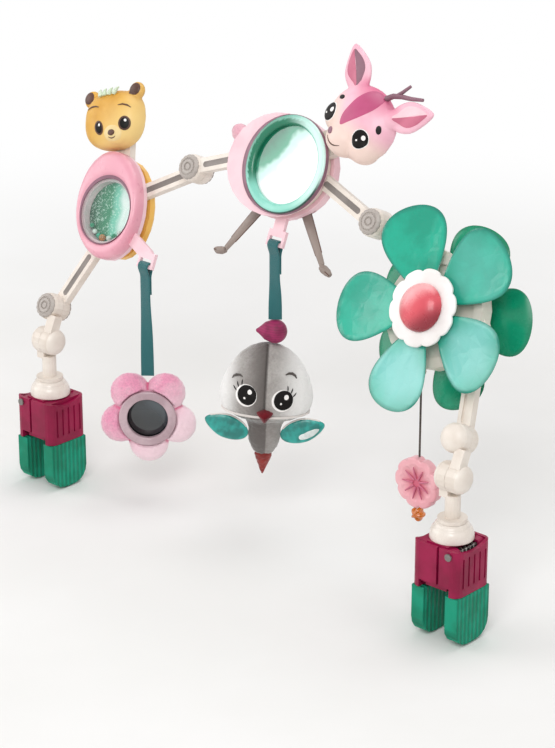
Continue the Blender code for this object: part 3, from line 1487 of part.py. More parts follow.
def main():
    right_clamp = axis_empty("right_clamp", None, (0, 0, 0))
    build_clamp("right", right_clamp)
    right_swivel = axis_empty("right_swivel_axis", right_clamp, (0, 0, TILT_HEIGHT))
    put(post("right_post"), right_swivel)
    put(knuckle_pin("right_tilt_pin"), right_swivel, turn=(0, math.pi / 2, 0))
    arch = axis_empty("arch", right_swivel, (0, 0, 0), LEANING)
    put(short_link("right_link"), arch)

    flower_arm = axis_empty("flower_arm_axis", arch, K2)
    put(knuckle_pin("right_arm_pin"), flower_arm)
    put(knuckle_pin("flower_deer_pin"), flower_arm, K3 - K2)
    build_spinner(flower_arm)
    build_pendant(flower_arm)

    deer_arm = axis_empty("deer_arm_axis", flower_arm, K3 - K2)
    build_deer(deer_arm)
    build_bird(deer_arm)

    bear_arm = axis_empty("bear_arm_axis", deer_arm, K4 - K3)
    put(knuckle_pin("deer_bear_pin"), bear_arm)
    put(knuckle_pin("left_arm_pin"), bear_arm, K5 - K4)
    build_bear(bear_arm)
    build_flower_toy(bear_arm)

    left_arm = axis_empty("left_arm_axis", bear_arm, K5 - K4)
    put(short_link("left_link"), left_arm, K6 - K5)
    left_tilt = axis_empty("left_tilt_axis", left_arm, K6 - K5, UPRIGHT)
    put(knuckle_pin("left_tilt_pin"), left_tilt, turn=(0, math.pi / 2, 0))
    put(post("left_post"), left_tilt)
    left_clamp = axis_empty("left_clamp", left_tilt, (0, 0, -TILT_HEIGHT), (0, 0, math.pi))
    build_clamp("left", left_clamp)


main()
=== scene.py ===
"""The looks of a play arch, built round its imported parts.

Shapes are given in millimetres and put in the part's own frame, which is in metres with +Z up. Pieces of the
arch are made in its leaning frame: X across, Y up the arch and Z towards its front.
"""

import math

import bmesh
import bpy
import numpy as np
from mathutils import Matrix, Vector, noise
from mathutils.bvhtree import BVHTree


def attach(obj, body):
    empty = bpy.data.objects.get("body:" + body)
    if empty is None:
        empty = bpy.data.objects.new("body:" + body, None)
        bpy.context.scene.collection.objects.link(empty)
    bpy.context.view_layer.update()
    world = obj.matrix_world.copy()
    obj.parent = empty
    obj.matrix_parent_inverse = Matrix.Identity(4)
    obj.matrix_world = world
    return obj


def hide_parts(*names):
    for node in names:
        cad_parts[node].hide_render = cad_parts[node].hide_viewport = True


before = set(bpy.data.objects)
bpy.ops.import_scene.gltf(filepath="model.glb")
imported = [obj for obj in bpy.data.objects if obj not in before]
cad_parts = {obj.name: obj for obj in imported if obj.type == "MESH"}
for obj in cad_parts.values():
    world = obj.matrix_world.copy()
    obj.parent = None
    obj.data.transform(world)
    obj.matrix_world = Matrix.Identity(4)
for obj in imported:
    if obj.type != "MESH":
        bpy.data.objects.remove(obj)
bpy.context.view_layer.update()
MM = 0.001


# Camera
AIM = Vector((-0.1783, 0.0205, 0.100))
AZIMUTH = math.radians(42)
ELEVATION = math.radians(21)
DISTANCE = 1.728
LENS = 114.9


def make_camera():
    back = Vector((
        math.sin(AZIMUTH) * math.cos(ELEVATION), -math.cos(AZIMUTH) * math.cos(ELEVATION),
        math.sin(ELEVATION)
    ))
    data = bpy.data.cameras.new("camera")
    data.lens = LENS
    data.sensor_width = 36
    data.clip_start = 0.05
    camera = bpy.data.objects.new("camera", data)
    camera.location = AIM + back * DISTANCE
    camera.rotation_euler = (-back).to_track_quat("-Z", "Y").to_euler()
    bpy.context.scene.collection.objects.link(camera)
    bpy.context.scene.camera = camera


make_camera()


# Frames. Every argument is in millimetres or degrees.
def shift(x, y, z=0.0):
    return Matrix.Translation((x * MM, y * MM, z * MM))


def turn(degrees, axis="Z"):
    return Matrix.Rotation(math.radians(degrees), 4, axis)


KNUCKLE_HEIGHT = 77
ARCH_LEAN = 66
CLAMP_SPACING = 400
CLAMPS = (("right", 0), ("left", -CLAMP_SPACING))
SPINNER_X = -52
BEAR_LEAN = 18
TOY_FACING = 40
BALL_DROP = 67
FLOWER_DROP = 120.6
BIRD_LEAN = 3

ARCH = shift(0, 0, KNUCKLE_HEIGHT) @ turn(ARCH_LEAN, "X")
PENDANT = shift(SPINNER_X, 28.369, 132.237)
SPINNER = ARCH @ shift(SPINNER_X, 104)
DEER = ARCH @ shift(-216, 175)
DEER_FACE = ARCH @ shift(-204.5, 176.5)
DEER_HEAD = ARCH @ shift(-147, 217.5, 8.4) @ turn(-24)
BEAR_SHELL = ARCH @ shift(-369, 114)
BEAR = BEAR_SHELL @ turn(BEAR_LEAN)
BEAR_WINDOW = ARCH @ shift(-368, 109)
BEAR_HEAD = BEAR @ shift(0, 67.4, -1.1)
BIRD_STRAP = shift(-206.5, 49.315, 185.305)
BIRD_BALL = BIRD_STRAP @ shift(0, 0, -BALL_DROP) @ turn(TOY_FACING) @ turn(BIRD_LEAN, "Y")
BIRD = BIRD_STRAP @ shift(0, 0, -BALL_DROP) @ turn(TOY_FACING) @ shift(-4, 0) @ turn(BIRD_LEAN, "Y")
FLOWER_STRAP = shift(-319, 27.665, 148.97)
FLOWER = FLOWER_STRAP @ shift(0, 0, -FLOWER_DROP) @ turn(TOY_FACING) @ turn(90, "X")
# Knuckle pins, as X and Y in the arch's frame
RIGHT_ARM_PIN = (-4, 26)
FLOWER_DEER_PIN = (-121, 152)
DEER_BEAR_PIN = (-299, 157.6)
LEFT_ARM_PIN = (-404, 26)


# Materials
def linear(hex_colour):
    """An sRGB hex colour as linear RGBA."""
    parts = [int(hex_colour[i:i + 2], 16) / 255 for i in (1, 3, 5)]
    return [p / 12.92 if p <= 0.04045 else ((p + 0.055) / 1.055) ** 2.4 for p in parts] + [1.0]


def blank(name):
    """An empty material, its tree and its shader."""
    made = bpy.data.materials.new(name)
    made.use_nodes = True
    return made, made.node_tree, made.node_tree.nodes["Principled BSDF"]


def add(tree, kind, inputs=(), **settings):
    """A node with its settings. An input that is a socket is linked, and any other is set."""
    node = tree.nodes.new(kind)
    for name, value in settings.items():
        setattr(node, name, value)
    for key, value in dict(inputs).items():
        if isinstance(value, bpy.types.NodeSocket):
            tree.links.new(value, node.inputs[key])
        else:
            node.inputs[key].default_value = value
    return node


def join_shader(tree, shader, **sockets):
    """Links or sets a shader's inputs, named with an underscore for each space."""
    for name, value in sockets.items():
        socket = shader.inputs[name.replace("_", " ")]
        if isinstance(value, bpy.types.NodeSocket):
            tree.links.new(value, socket)
        else:
            socket.default_value = value


def mottled(tree, where, size, first, second):
    """Two colours mixed in soft patches of that size in millimetres."""
    patches = add(tree, "ShaderNodeTexNoise", {"Vector": where, "Scale": 1 / (size * MM), "Detail": 4.0})
    share = add(
        tree, "ShaderNodeMapRange", {0: patches.outputs["Fac"], 1: 0.35, 2: 0.65},
        interpolation_type="SMOOTHSTEP",
    )
    return add(
        tree, "ShaderNodeMix", {0: share.outputs[0], 6: first, 7: second}, data_type="RGBA"
    ).outputs[2]


def moulded(
    name, base, deep, roughness=0.36, grit=0.9, depth=0.05, clear=0.0, see_through=0.0, masks=None,
    above=None, crinkle=0.0, ribs=0.0, shine=0.5,
):
    """Injection-moulded plastic: an uneven tone, a fine spark-eroded grain, and rubbed patches that shine.

    Masks are point attributes with the colour that each brings in. Above is a height and the colour over it.
    Ribs is the step in millimetres of upright ribs across Y, whose sides get painted shade and painted
    highlight. Shine below 0.5 is for a duller skin.
    """
    made, tree, shader = blank(name)
    where = add(tree, "ShaderNodeTexCoord").outputs["Object"]
    colour = mottled(tree, where, 22, linear(base), linear(deep))
    for mask_name, tint in (masks or {}).items():
        mask = add(tree, "ShaderNodeAttribute", attribute_name=mask_name).outputs["Fac"]
        colour = add(
            tree, "ShaderNodeMix", {0: mask, 6: colour, 7: linear(tint)}, data_type="RGBA"
        ).outputs[2]
    if above:
        height = add(tree, "ShaderNodeSeparateXYZ", {0: where}).outputs["Z"]
        higher = add(
            tree, "ShaderNodeMath", {0: height, 1: above[0] * MM}, operation="GREATER_THAN"
        ).outputs[0]
        colour = add(
            tree, "ShaderNodeMix", {0: higher, 6: colour, 7: linear(above[1])}, data_type="RGBA"
        ).outputs[2]
    rubbed = add(
        tree, "ShaderNodeTexNoise", {"Vector": where, "Scale": 1 / (9 * MM), "Detail": 5.0, "Roughness": 0.6}
    )
    gloss = add(tree, "ShaderNodeMapRange", {
        0: rubbed.outputs["Fac"], 1: 0.3, 2: 0.7, 3: roughness * 0.8, 4: min(roughness * 1.3, 1.0)
    })
    grain = add(tree, "ShaderNodeTexNoise", {"Vector": where, "Scale": 1 / (grit * MM), "Detail": 2.0})
    bump = add(
        tree, "ShaderNodeBump", {"Height": grain.outputs["Fac"], "Strength": 0.35, "Distance": depth * MM}
    )
    if crinkle:
        folds = add(
            tree, "ShaderNodeTexVoronoi", {"Vector": where, "Scale": 1 / (9 * MM)},
            feature="DISTANCE_TO_EDGE",
        )
        creased = add(tree, "ShaderNodeMapRange", {0: folds.outputs["Distance"], 1: 0.0, 2: 0.35}).outputs[0]
        bump = add(tree, "ShaderNodeBump", {
            "Height": creased, "Strength": crinkle, "Distance": 0.6 * MM, "Normal": bump.outputs[0]
        })
    if ribs:
        # A wave's bands are 0.314 of its size apart
        bands = add(
            tree, "ShaderNodeTexWave", {"Vector": where, "Scale": 0.314 / (ribs * MM)}, bands_direction="Y"
        ).outputs["Fac"]
        # Painted shade and highlight: the colour darkens and lightens across each rib
        painted_light = add(tree, "ShaderNodeMapRange", {0: bands, 1: 0.0, 2: 1.0, 3: 0.82, 4: 1.25}).outputs[0]
        colour = add(
            tree, "ShaderNodeMix", {0: 1.0, 6: colour, 7: painted_light}, data_type="RGBA", blend_type="MULTIPLY"
        ).outputs[2]
        bump = add(tree, "ShaderNodeBump", {
            "Height": bands, "Strength": 0.8, "Distance": 0.7 * MM, "Normal": bump.outputs[0]
        })
    join_shader(
        tree, shader, Base_Color=colour, Roughness=gloss.outputs[0], Normal=bump.outputs[0], IOR=1.5,
        Specular_IOR_Level=shine, Coat_Weight=clear, Coat_Roughness=0.12, Transmission_Weight=see_through,
    )
    return made


def plush(name, base, deep, pile=1.6, soft=0.75, masks=None):
    """Short-pile velour: clumped pile that shades in patches, with a pale bloom where it is seen edge on."""
    made, tree, shader = blank(name)
    where = add(tree, "ShaderNodeTexCoord").outputs["Object"]
    patches = mottled(tree, where, 11, linear(base), linear(deep))
    strands = add(
        tree, "ShaderNodeTexNoise",
        {"Vector": where, "Scale": 1 / (pile * MM), "Detail": 6.0, "Roughness": 0.7},
    )
    dark = add(tree, "ShaderNodeMapRange", {0: strands.outputs["Fac"], 1: 0.25, 2: 0.7, 3: 0.72, 4: 1.08})
    colour = add(
        tree, "ShaderNodeMix", {0: 1.0, 6: patches, 7: dark.outputs[0]}, data_type="RGBA",
        blend_type="MULTIPLY"
    ).outputs[2]
    for mask_name, tint in (masks or {}).items():
        mask = add(tree, "ShaderNodeAttribute", attribute_name=mask_name).outputs["Fac"]
        colour = add(
            tree, "ShaderNodeMix", {0: mask, 6: colour, 7: linear(tint)}, data_type="RGBA"
        ).outputs[2]
    bump = add(
        tree, "ShaderNodeBump", {"Height": strands.outputs["Fac"], "Strength": 0.8, "Distance": 0.7 * MM}
    )
    join_shader(
        tree, shader, Base_Color=colour, Roughness=0.92, Normal=bump.outputs[0], Sheen_Weight=soft,
        Sheen_Roughness=0.45, Specular_IOR_Level=0.15,
    )
    return made


def webbing(name, base, deep, rib=1.25):
    """Woven polyester tape: a twill of raised yarns in two close tones.

    The rib is in millimetres, and twice as coarse as a real one so that it shows.
    """
    made, tree, shader = blank(name)
    along = add(tree, "ShaderNodeUVMap", uv_map="tape").outputs[0]
    yarns = add(
        tree, "ShaderNodeTexWave", {"Vector": along, "Scale": 1.0 / rib, "Distortion": 0.3, "Detail": 1.0},
        bands_direction="DIAGONAL", wave_profile="SIN",
    ).outputs["Fac"]
    rows = add(
        tree, "ShaderNodeTexWave", {"Vector": along, "Scale": 0.5 / rib, "Distortion": 0.2},
        bands_direction="X"
    ).outputs["Fac"]
    weave = add(tree, "ShaderNodeMath", {0: yarns, 1: rows}, operation="MULTIPLY").outputs[0]
    colour = add(
        tree, "ShaderNodeMix", {0: weave, 6: linear(deep), 7: linear(base)}, data_type="RGBA"
    ).outputs[2]
    bump = add(tree, "ShaderNodeBump", {"Height": weave, "Strength": 0.9, "Distance": 0.25 * MM})
    join_shader(
        tree, shader, Base_Color=colour, Roughness=0.7, Normal=bump.outputs[0], Sheen_Weight=0.3,
        Sheen_Roughness=0.4
    )
    return made


def metal(name, base, deep, roughness):
    """Turned or plated metal: fine streaks along the cut and a slightly clouded shine."""
    made, tree, shader = blank(name)
    where = add(tree, "ShaderNodeTexCoord").outputs["Object"]
    stretched = add(tree, "ShaderNodeMapping", {"Vector": where, "Scale": (1.0, 1.0, 6.0)}).outputs[0]
    lines = add(tree, "ShaderNodeTexNoise", {"Vector": stretched, "Scale": 1 / (3 * MM), "Detail": 5.0})
    colour = add(
        tree, "ShaderNodeMix", {0: lines.outputs["Fac"], 6: linear(base), 7: linear(deep)}, data_type="RGBA"
    ).outputs[2]
    gloss = add(
        tree, "ShaderNodeMapRange",
        {0: lines.outputs["Fac"], 1: 0.3, 2: 0.7, 3: roughness * 0.7, 4: roughness * 1.4},
    )
    bump = add(
        tree, "ShaderNodeBump", {"Height": lines.outputs["Fac"], "Strength": 0.15, "Distance": 0.05 * MM}
    )
    join_shader(
        tree, shader, Base_Color=colour, Metallic=1.0, Roughness=gloss.outputs[0], Normal=bump.outputs[0]
    )
    return made


def foil(name, colours, span, angle, roughness=0.12, clear=1.0, glitter_glints=0.0):
    """Colours under a clear face that run into each other across a disc: a painted reflection on the
    mirrors, and on the rattle's card a green that runs into a painted highlight.

    Span is the disc's half width in millimetres, and angle the way the colours run in degrees.
    """
    made, tree, shader = blank(name)
    where = add(tree, "ShaderNodeTexCoord").outputs["Object"]
    rotated = add(
        tree, "ShaderNodeMapping", {"Vector": where, "Rotation": (0, 0, math.radians(-angle))}
    ).outputs[0]
    x = add(tree, "ShaderNodeSeparateXYZ", {0: rotated}).outputs[0]
    soft = add(
        tree, "ShaderNodeTexNoise", {"Vector": where, "Scale": 1 / (16 * MM), "Detail": 2.0}
    ).outputs["Fac"]
    wander = add(tree, "ShaderNodeMapRange", {0: soft, 1: 0.0, 2: 1.0, 3: -0.12, 4: 0.12}).outputs[0]
    across = add(tree, "ShaderNodeMapRange", {0: x, 1: -span * MM, 2: span * MM}).outputs[0]
    share = add(tree, "ShaderNodeMath", {0: across, 1: wander}, operation="ADD").outputs[0]
    ramp = add(tree, "ShaderNodeValToRGB", {0: share})
    ramp.color_ramp.interpolation = "EASE"
    stops = ramp.color_ramp.elements
    for i, (place, hex_colour) in enumerate(colours):
        stop = stops[i] if i < 2 else stops.new(place)
        stop.position = place
        stop.color = linear(hex_colour)
    colour = ramp.outputs[0]
    if glitter_glints:
        # Painted glints: some of the glitter's cells turn near white in the colour
        flakes = add(
            tree, "ShaderNodeTexVoronoi", {"Vector": where, "Scale": 1 / (1.1 * MM), "Randomness": 1.0}
        )
        bright = add(tree, "ShaderNodeSeparateColor", {0: flakes.outputs["Color"]}).outputs[0]
        painted_light = add(tree, "ShaderNodeMapRange", {0: bright, 1: 0.80, 2: 0.84, 3: 0.0, 4: glitter_glints}).outputs[0]
        colour = add(
            tree, "ShaderNodeMix", {0: painted_light, 6: colour, 7: linear("#F4FFF8")}, data_type="RGBA"
        ).outputs[2]
    waves = add(tree, "ShaderNodeTexNoise", {"Vector": where, "Scale": 1 / (12 * MM), "Detail": 1.0})
    bump = add(
        tree, "ShaderNodeBump", {"Height": waves.outputs["Fac"], "Strength": 0.2, "Distance": 0.4 * MM}
    )
    gloss = add(
        tree, "ShaderNodeMapRange", {0: soft, 1: 0.3, 2: 0.7, 3: roughness * 0.8, 4: roughness * 1.3}
    )
    join_shader(
        tree, shader, Base_Color=colour, Roughness=gloss.outputs[0],
        Normal=bump.outputs[0], Coat_Weight=clear, Coat_Roughness=0.03, IOR=1.5,
    )
    return made


def clear_plastic(name, tint):
    """Clear styrene sheet: a faint tint and soft flow marks. Light that it doesn't mirror goes through."""
    made, tree, shader = blank(name)
    where = add(tree, "ShaderNodeTexCoord").outputs["Object"]
    flow = add(tree, "ShaderNodeTexNoise", {"Vector": where, "Scale": 1 / (15 * MM), "Detail": 2.0})
    colour = add(
        tree, "ShaderNodeMix", {0: flow.outputs["Fac"], 6: linear("#FFFFFF"), 7: linear(tint)},
        data_type="RGBA"
    ).outputs[2]
    gloss = add(
        tree, "ShaderNodeMapRange", {0: flow.outputs["Fac"], 1: 0.3, 2: 0.7, 3: 0.018, 4: 0.06}
    )
    bump = add(
        tree, "ShaderNodeBump", {"Height": flow.outputs["Fac"], "Strength": 0.1, "Distance": 0.3 * MM}
    )
    join_shader(
        tree, shader, Base_Color=colour, Roughness=gloss.outputs[0], Normal=bump.outputs[0], IOR=1.49,
    )
    glance = add(tree, "ShaderNodeLayerWeight", {"Blend": 0.25, "Normal": bump.outputs[0]}).outputs["Facing"]
    share = add(tree, "ShaderNodeMapRange", {0: glance, 1: 0.25, 2: 1.0, 3: 0.05, 4: 0.6}).outputs[0]
    through = add(tree, "ShaderNodeBsdfTransparent", {"Color": colour}).outputs[0]
    mixed = add(tree, "ShaderNodeMixShader", {0: share, 1: through, 2: shader.outputs[0]})
    tree.links.new(mixed.outputs[0], tree.nodes["Material Output"].inputs["Surface"])
    return made


def striped(name, base, deep, across, width, roughness=0.55, sheen=0.4, gloss_coat=0.0):
    """Satin or braid: fine threads side by side, width millimetres apart, with a soft shine along them."""
    made, tree, shader = blank(name)
    where = add(tree, "ShaderNodeTexCoord").outputs["Object"]
    threads = add(
        tree, "ShaderNodeTexWave",
        {"Vector": where, "Scale": 1 / (width * MM) / 6.28, "Distortion": 1.2, "Detail": 2.0},
        bands_direction=across,
    ).outputs["Fac"]
    patches = mottled(tree, where, 7, linear(base), linear(deep))
    shade = add(tree, "ShaderNodeMapRange", {0: threads, 3: 0.82, 4: 1.05}).outputs[0]
    colour = add(
        tree, "ShaderNodeMix", {0: 1.0, 6: patches, 7: shade}, data_type="RGBA", blend_type="MULTIPLY"
    ).outputs[2]
    bump = add(tree, "ShaderNodeBump", {"Height": threads, "Strength": 0.4, "Distance": 0.2 * MM})
    join_shader(
        tree, shader, Base_Color=colour, Roughness=roughness, Normal=bump.outputs[0], Sheen_Weight=sheen,
        Sheen_Roughness=0.3, Coat_Weight=gloss_coat, Coat_Roughness=0.25,
    )
    return made


# Injection-moulded ABS: a satin skin with soft, broad highlights
CREAM = moulded("cream ABS", "#EDE4DA", "#E0D4C8", 0.34)
DOME_CREAM = moulded("gloss cream ABS", "#EFE6DD", "#E3D8CD", 0.26, clear=0.2)
KNUCKLE_GREY = moulded("warm grey ABS", "#B9B1AA", "#A49B95", 0.45, grit=0.7, depth=0.1)
# Painted shade: the grey of the strips let into the arms
GROOVE_GREY = moulded("shaded grey ABS", "#8F8782", "#7B736E", 0.55)
FUCHSIA = moulded("fuchsia ABS", "#9A0F45", "#820A38", 0.42, shine=0.3)
HOUSING = moulded(
    "fuchsia ABS under a cream dome", "#9A0F45", "#820A38", 0.42, above=(33.2, "#EDE4DA"), shine=0.3
)
# Thermoplastic rubber: dull and ribbed, so it looks as if it grips, with painted shade and highlight across
# the ribs
RUBBER = moulded(
    "green thermoplastic rubber", "#139072", "#0D7A5D", 0.58, grit=0.7, depth=0.12, ribs=4.2, shine=0.25
)
# Clear and deep-coloured polystyrene: glossy, and the clear one lets a little light in
# On the petals, the pale mask paints a highlight and the rim mask paints shade along the rolled rim
TEAL = moulded(
    "clear teal polystyrene", "#10B495", "#06A083", 0.18, clear=0.3, see_through=0.10, crinkle=0.25,
    shine=0.4, masks={"pale": "#8AD8D2", "rim": "#08806C"},
)
GREEN = moulded(
    "deep green polystyrene", "#0B9A73", "#078863", 0.26, clear=0.1, shine=0.35, masks={"rim": "#067A58"}
)
# Gloss ABS and polypropylene: smooth; where a mask says so, painted highlight and painted shade on the
# flower's dome and the mirror's bezel, and a deeper pink middle on the rosette
WHITE = moulded("white ABS", "#F6F3F1", "#ECE7E4", 0.32)
# On the flower's dome, a painted highlight at the upper left and painted shade at the lower right
CORAL = moulded(
    "coral polypropylene", "#DD5662", "#D14956", 0.28, clear=0.25,
    masks={"tint_and_highlight": "#F2A9AC", "shade_and_dark_tone": "#8F1B2D"},
)
PENDANT_PINK = moulded(
    "rose polypropylene", "#F0B4BB", "#EAA5AE", 0.34, clear=0.2, masks={"tint_and_highlight": "#D2607A"}
)
SHELL_PINK = moulded("pale pink ABS", "#F4CFD6", "#EEC3CC", 0.36)
HOOP_PINK = moulded("rose ABS", "#EAABB9", "#E39CAD", 0.30, clear=0.2)
# Painted shadow: the dark mauve of the shadow lines beside the mirror's bezel and the rattle's window
SHADE_MAUVE = moulded("painted shadow mauve", "#94697A", "#7F5666", 0.4)
# On the bezel, painted shade inside its upper left and along its lower outer edge, and a painted highlight
# on its right
MINT = moulded(
    "mint ABS", "#93D9C8", "#7FCDBA", 0.24, clear=0.3,
    masks={"shade_and_dark_tone": "#0E7354", "tint_and_highlight": "#CDEEE5", "rim": "#244A40"}
)
RING = moulded("pearl pink ABS", "#C6ACB3", "#B0949C", 0.24, clear=0.4)
# Soft vinyl: matt, with the warm and pale patches of a sprayed face where a mask says so
DEER_PINK = moulded("pink vinyl", "#F2C0CE", "#EBB0C1", 0.42, masks={"tint_and_highlight": "#D9688E", "pale": "#F0D5CA"})
EAR_ROSE = moulded("rose ear vinyl", "#CB6F88", "#BC5F7A", 0.42)
MAUVE = moulded("mauve vinyl", "#8F6675", "#7C5563", 0.45)
TAUPE = moulded("taupe vinyl", "#94857D", "#7F716A", 0.45)
BROWN = moulded("brown vinyl", "#5A3423", "#47281A", 0.42)
TUFT_GREEN = moulded("pale green vinyl", "#DDE8D2", "#C9D9BC", 0.45)
# Honey vinyl and ABS, and amber styrene that lets light through
# On the bear's head, the pale mask is a painted highlight towards its lower right
YELLOW = moulded("honey vinyl", "#DFAA42", "#CF9631", 0.45, masks={"pale": "#F1CF85"})
ORANGE = moulded("honey ABS", "#F3BE5A", "#EAAE48", 0.36)
AMBER = moulded("clear amber styrene", "#EE8F2C", "#DE7A1E", 0.10, clear=0.6, see_through=0.35)
# Printed inks: flat colour with almost no grain
BLACK = moulded("black gloss print", "#0D0807", "#080504", 0.45, depth=0.01, shine=0.2)
BRIGHT = moulded("white gloss print", "#FBF8F5", "#F4EFEC", 0.22, clear=0.6, depth=0.01)
BLAZE = moulded("rose print", "#C25480", "#B54873", 0.38, depth=0.02)
PALE = moulded("pale honey print", "#F0D79E", "#EACB8A", 0.42, depth=0.02)
# Nickel-plated steel: grey and faintly streaked
STEEL = metal("nickel-plated steel", "#9C9996", "#77746F", 0.42)
# Acrylic mirrors with painted reflections: the bright one is painted pale with a green edge, and the smoked
# one stays dark
MIRROR = foil(
    "silvered acrylic mirror", [(0.10, "#0F6F52"), (0.27, "#2B9775"), (0.36, "#C2E9DE"), (0.52, "#FBFDFC")],
    33, -40, 0.08
)
DARK_MIRROR = foil(
    "smoked acrylic mirror", [(0.1, "#101417"), (0.6, "#1E262B"), (0.9, "#3C474E")], 17, 40, 0.06
)
# Clear styrene: only its glints show
CLEAR = clear_plastic("clear styrene", "#EAF7F3")
# Printed card with glitter behind the rattle's window: its green runs into a painted highlight, and its
# sparkle is painted as white points
INSERT = foil(
    "printed emerald card", [(0.0, "#02583A"), (0.42, "#078059"), (0.60, "#86D2BD"), (0.76, "#FFFFFF")], 24,
    10, 0.55, clear=0.0, glitter_glints=0.45,
)
# Velour, felt, webbing, satin and braid: each soft, and shaded by its pile or its threads
TAIL_PINK = plush("pink tuft", "#F3C4CF", "#EBB0BF", pile=1.1, soft=0.5)
# On the bird, a darker grey left panel with painted shade under the hood, painted highlights at its edges,
# and painted shade in its seam
GREY_PLUSH = plush(
    "two-tone grey velour", "#B2ADA9", "#A39D99",
    masks={"shade_and_dark_tone": "#67615E", "edge_highlight": "#EFEDEB", "seam": "#3F3A37"}
)
DARK_PLUSH = plush("dark grey velour", "#5C5551", "#4B4541")
# On the flower toy, a painted highlight towards one side and painted shade in its seams
PINK_PLUSH = plush("pink velour", "#F3B7CB", "#EE9DBB", masks={"pale": "#F8D9E2", "seam": "#D9698F"})
TEAL_TAPE = webbing("teal webbing", "#2E7C7F", "#1B5F62")
TEAL_SATIN = striped("teal satin", "#22A79C", "#138078", "Z", 1.4, 0.34, 0.6, 0.3)
# Painted highlight: the white streak of sheen on the right wing's satin
WING_HIGHLIGHT = striped("painted satin highlight", "#EFF4F2", "#D6DEDB", "Z", 1.0, 0.30, 0.6, 0.3)
RED_FELT = plush("dark red felt", "#7A1824", "#5E0F1A", pile=0.9, soft=0.3)
RUST = plush("rust velour", "#9C3A35", "#7E2B28", pile=1.2)
BRIGHT_CLOTH = webbing("white piping", "#F3EFEC", "#DDD6D1", 0.6)
BALL_CLOTH = striped("fuchsia cord", "#9A1C57", "#7D1345", "Z", 0.9, 0.6, 0.3)
CORD = striped("dark braided cord", "#5B504B", "#463D39", "Z", 1.2, 0.75, 0.2)


# Shapes. Each is a bmesh in millimetres.
def loft(rings, closed=False):
    """A surface through rings of points, each ring with as many points as the next."""
    made = bmesh.new()
    rows = [[made.verts.new(point) for point in ring] for ring in rings]
    count = len(rows[0])
    pairs = list(zip(rows, rows[1:] + rows[:1])) if closed else list(zip(rows, rows[1:]))
    for low, high in pairs:
        for i in range(count):
            j = (i + 1) % count
            made.faces.new((low[i], low[j], high[j], high[i]))
    if not closed:
        made.faces.new(list(reversed(rows[0])))
        made.faces.new(rows[-1])
    bmesh.ops.recalc_face_normals(made, faces=made.faces)
    return made


def ring(radius, level, steps, lobes=0, notch=0.0):
    """A circle at that level, scalloped into lobes whose valleys are notch deep."""
    points = []
    for i in range(steps):
        angle = math.tau * i / steps
        inset = notch * (1 - abs(math.sin(lobes * angle / 2))) ** 2 if lobes else 0.0
        points.append(((radius - inset) * math.cos(angle), (radius - inset) * math.sin(angle), level))
    return points


def lathe(profile, steps=72, closed=False, lobes=0, notch=0.0, rows=1):
    """A profile of (radius, level) turned about Z, with more rows between its points where a mask needs it.

    A radius of 0 is closed with a cap a hair wide.
    """
    if rows > 1:
        profile = [
            (a[0] + (b[0] - a[0]) * k / rows, a[1] + (b[1] - a[1]) * k / rows)
            for a, b in zip(profile, profile[1:]) for k in range(rows)
        ] + [profile[-1]]
    rings = [ring(max(r, 0.02), z, steps, lobes, notch if r > 1 else 0.0) for r, z in profile]
    return loft(rings, closed=closed)


QUARTER = math.pi / 2


def arc(middle, radii, first, last, steps):
    """Points of a profile round a middle, between two angles in radians from straight out."""
    return [
        (middle[0] + radii[0] * math.cos(a), middle[1] + radii[1] * math.sin(a))
        for a in np.linspace(first, last, steps)
    ]


def egg(radii, centre=(0, 0, 0), tilt=0.0, segments=32, rows=20):
    """An ellipsoid turned about Z by tilt degrees."""
    made = bmesh.new()
    bmesh.ops.create_uvsphere(made, u_segments=segments, v_segments=rows, radius=1.0)
    matrix = Matrix.Translation(centre) @ Matrix.Rotation(
        math.radians(tilt), 4, "Z"
    ) @ Matrix.Diagonal((*radii, 1))
    bmesh.ops.transform(made, matrix=matrix, verts=made.verts)
    return made


def together(*shapes):
    """Several shapes in one mesh."""
    made = bmesh.new()
    for shape in shapes:
        mesh = bpy.data.meshes.new("part")
        shape.to_mesh(mesh)
        shape.free()
        made.from_mesh(mesh)
        bpy.data.meshes.remove(mesh)
    return made


def rod(points, radius, sides=12):
    """A tube through points, with a radius for each or one for all."""
    path = [Vector(p) for p in points]
    radii = list(radius) if hasattr(radius, "__len__") else [radius] * len(path)
    rings = []
    side = None
    for i, point in enumerate(path):
        ahead = (path[min(i + 1, len(path) - 1)] - path[max(i - 1, 0)]).normalized()
        if side is None:
            side = ahead.orthogonal().normalized()
        side = (side - ahead * side.dot(ahead)).normalized()
        other = ahead.cross(side)
        rings.append([
            point + (
                side * math.cos(math.tau * k / sides) + other * math.sin(math.tau * k / sides)
            ) * radii[i]
            for k in range(sides)
        ])
    return loft(rings)


def piece(name, body, shape, material, place=None, replaces=()):
    """Makes the shape a piece at its place, riding on its body."""
    bmesh.ops.scale(shape, vec=(MM, MM, MM), verts=shape.verts)
    mesh = bpy.data.meshes.new(name)
    shape.to_mesh(mesh)
    shape.free()
    mesh.shade_smooth()
    mesh.set_sharp_from_angle(angle=math.radians(50))
    mesh.materials.append(material)
    made = bpy.data.objects.new(name, mesh)
    bpy.context.scene.collection.objects.link(made)
    if place is not None:
        made.matrix_world = place
    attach(made, body)
    if replaces:
        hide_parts(*replaces)
    return made


def tint_mask(made, name, share):
    """Gives a piece a mask for its material: share(x, y, z) in millimetres of its own frame, from 0 to 1."""
    mesh = made.data
    values = np.zeros(len(mesh.vertices), np.float32)
    for i, vert in enumerate(mesh.vertices):
        values[i] = ease(share(*(vert.co / MM)))
    mesh.attributes.new(name, "FLOAT", "POINT").data.foreach_set("value", values)


def ease(share):
    """Eases from 0 to 1."""
    share = min(max(share, 0.0), 1.0)
    return share * share * (3 - 2 * share)


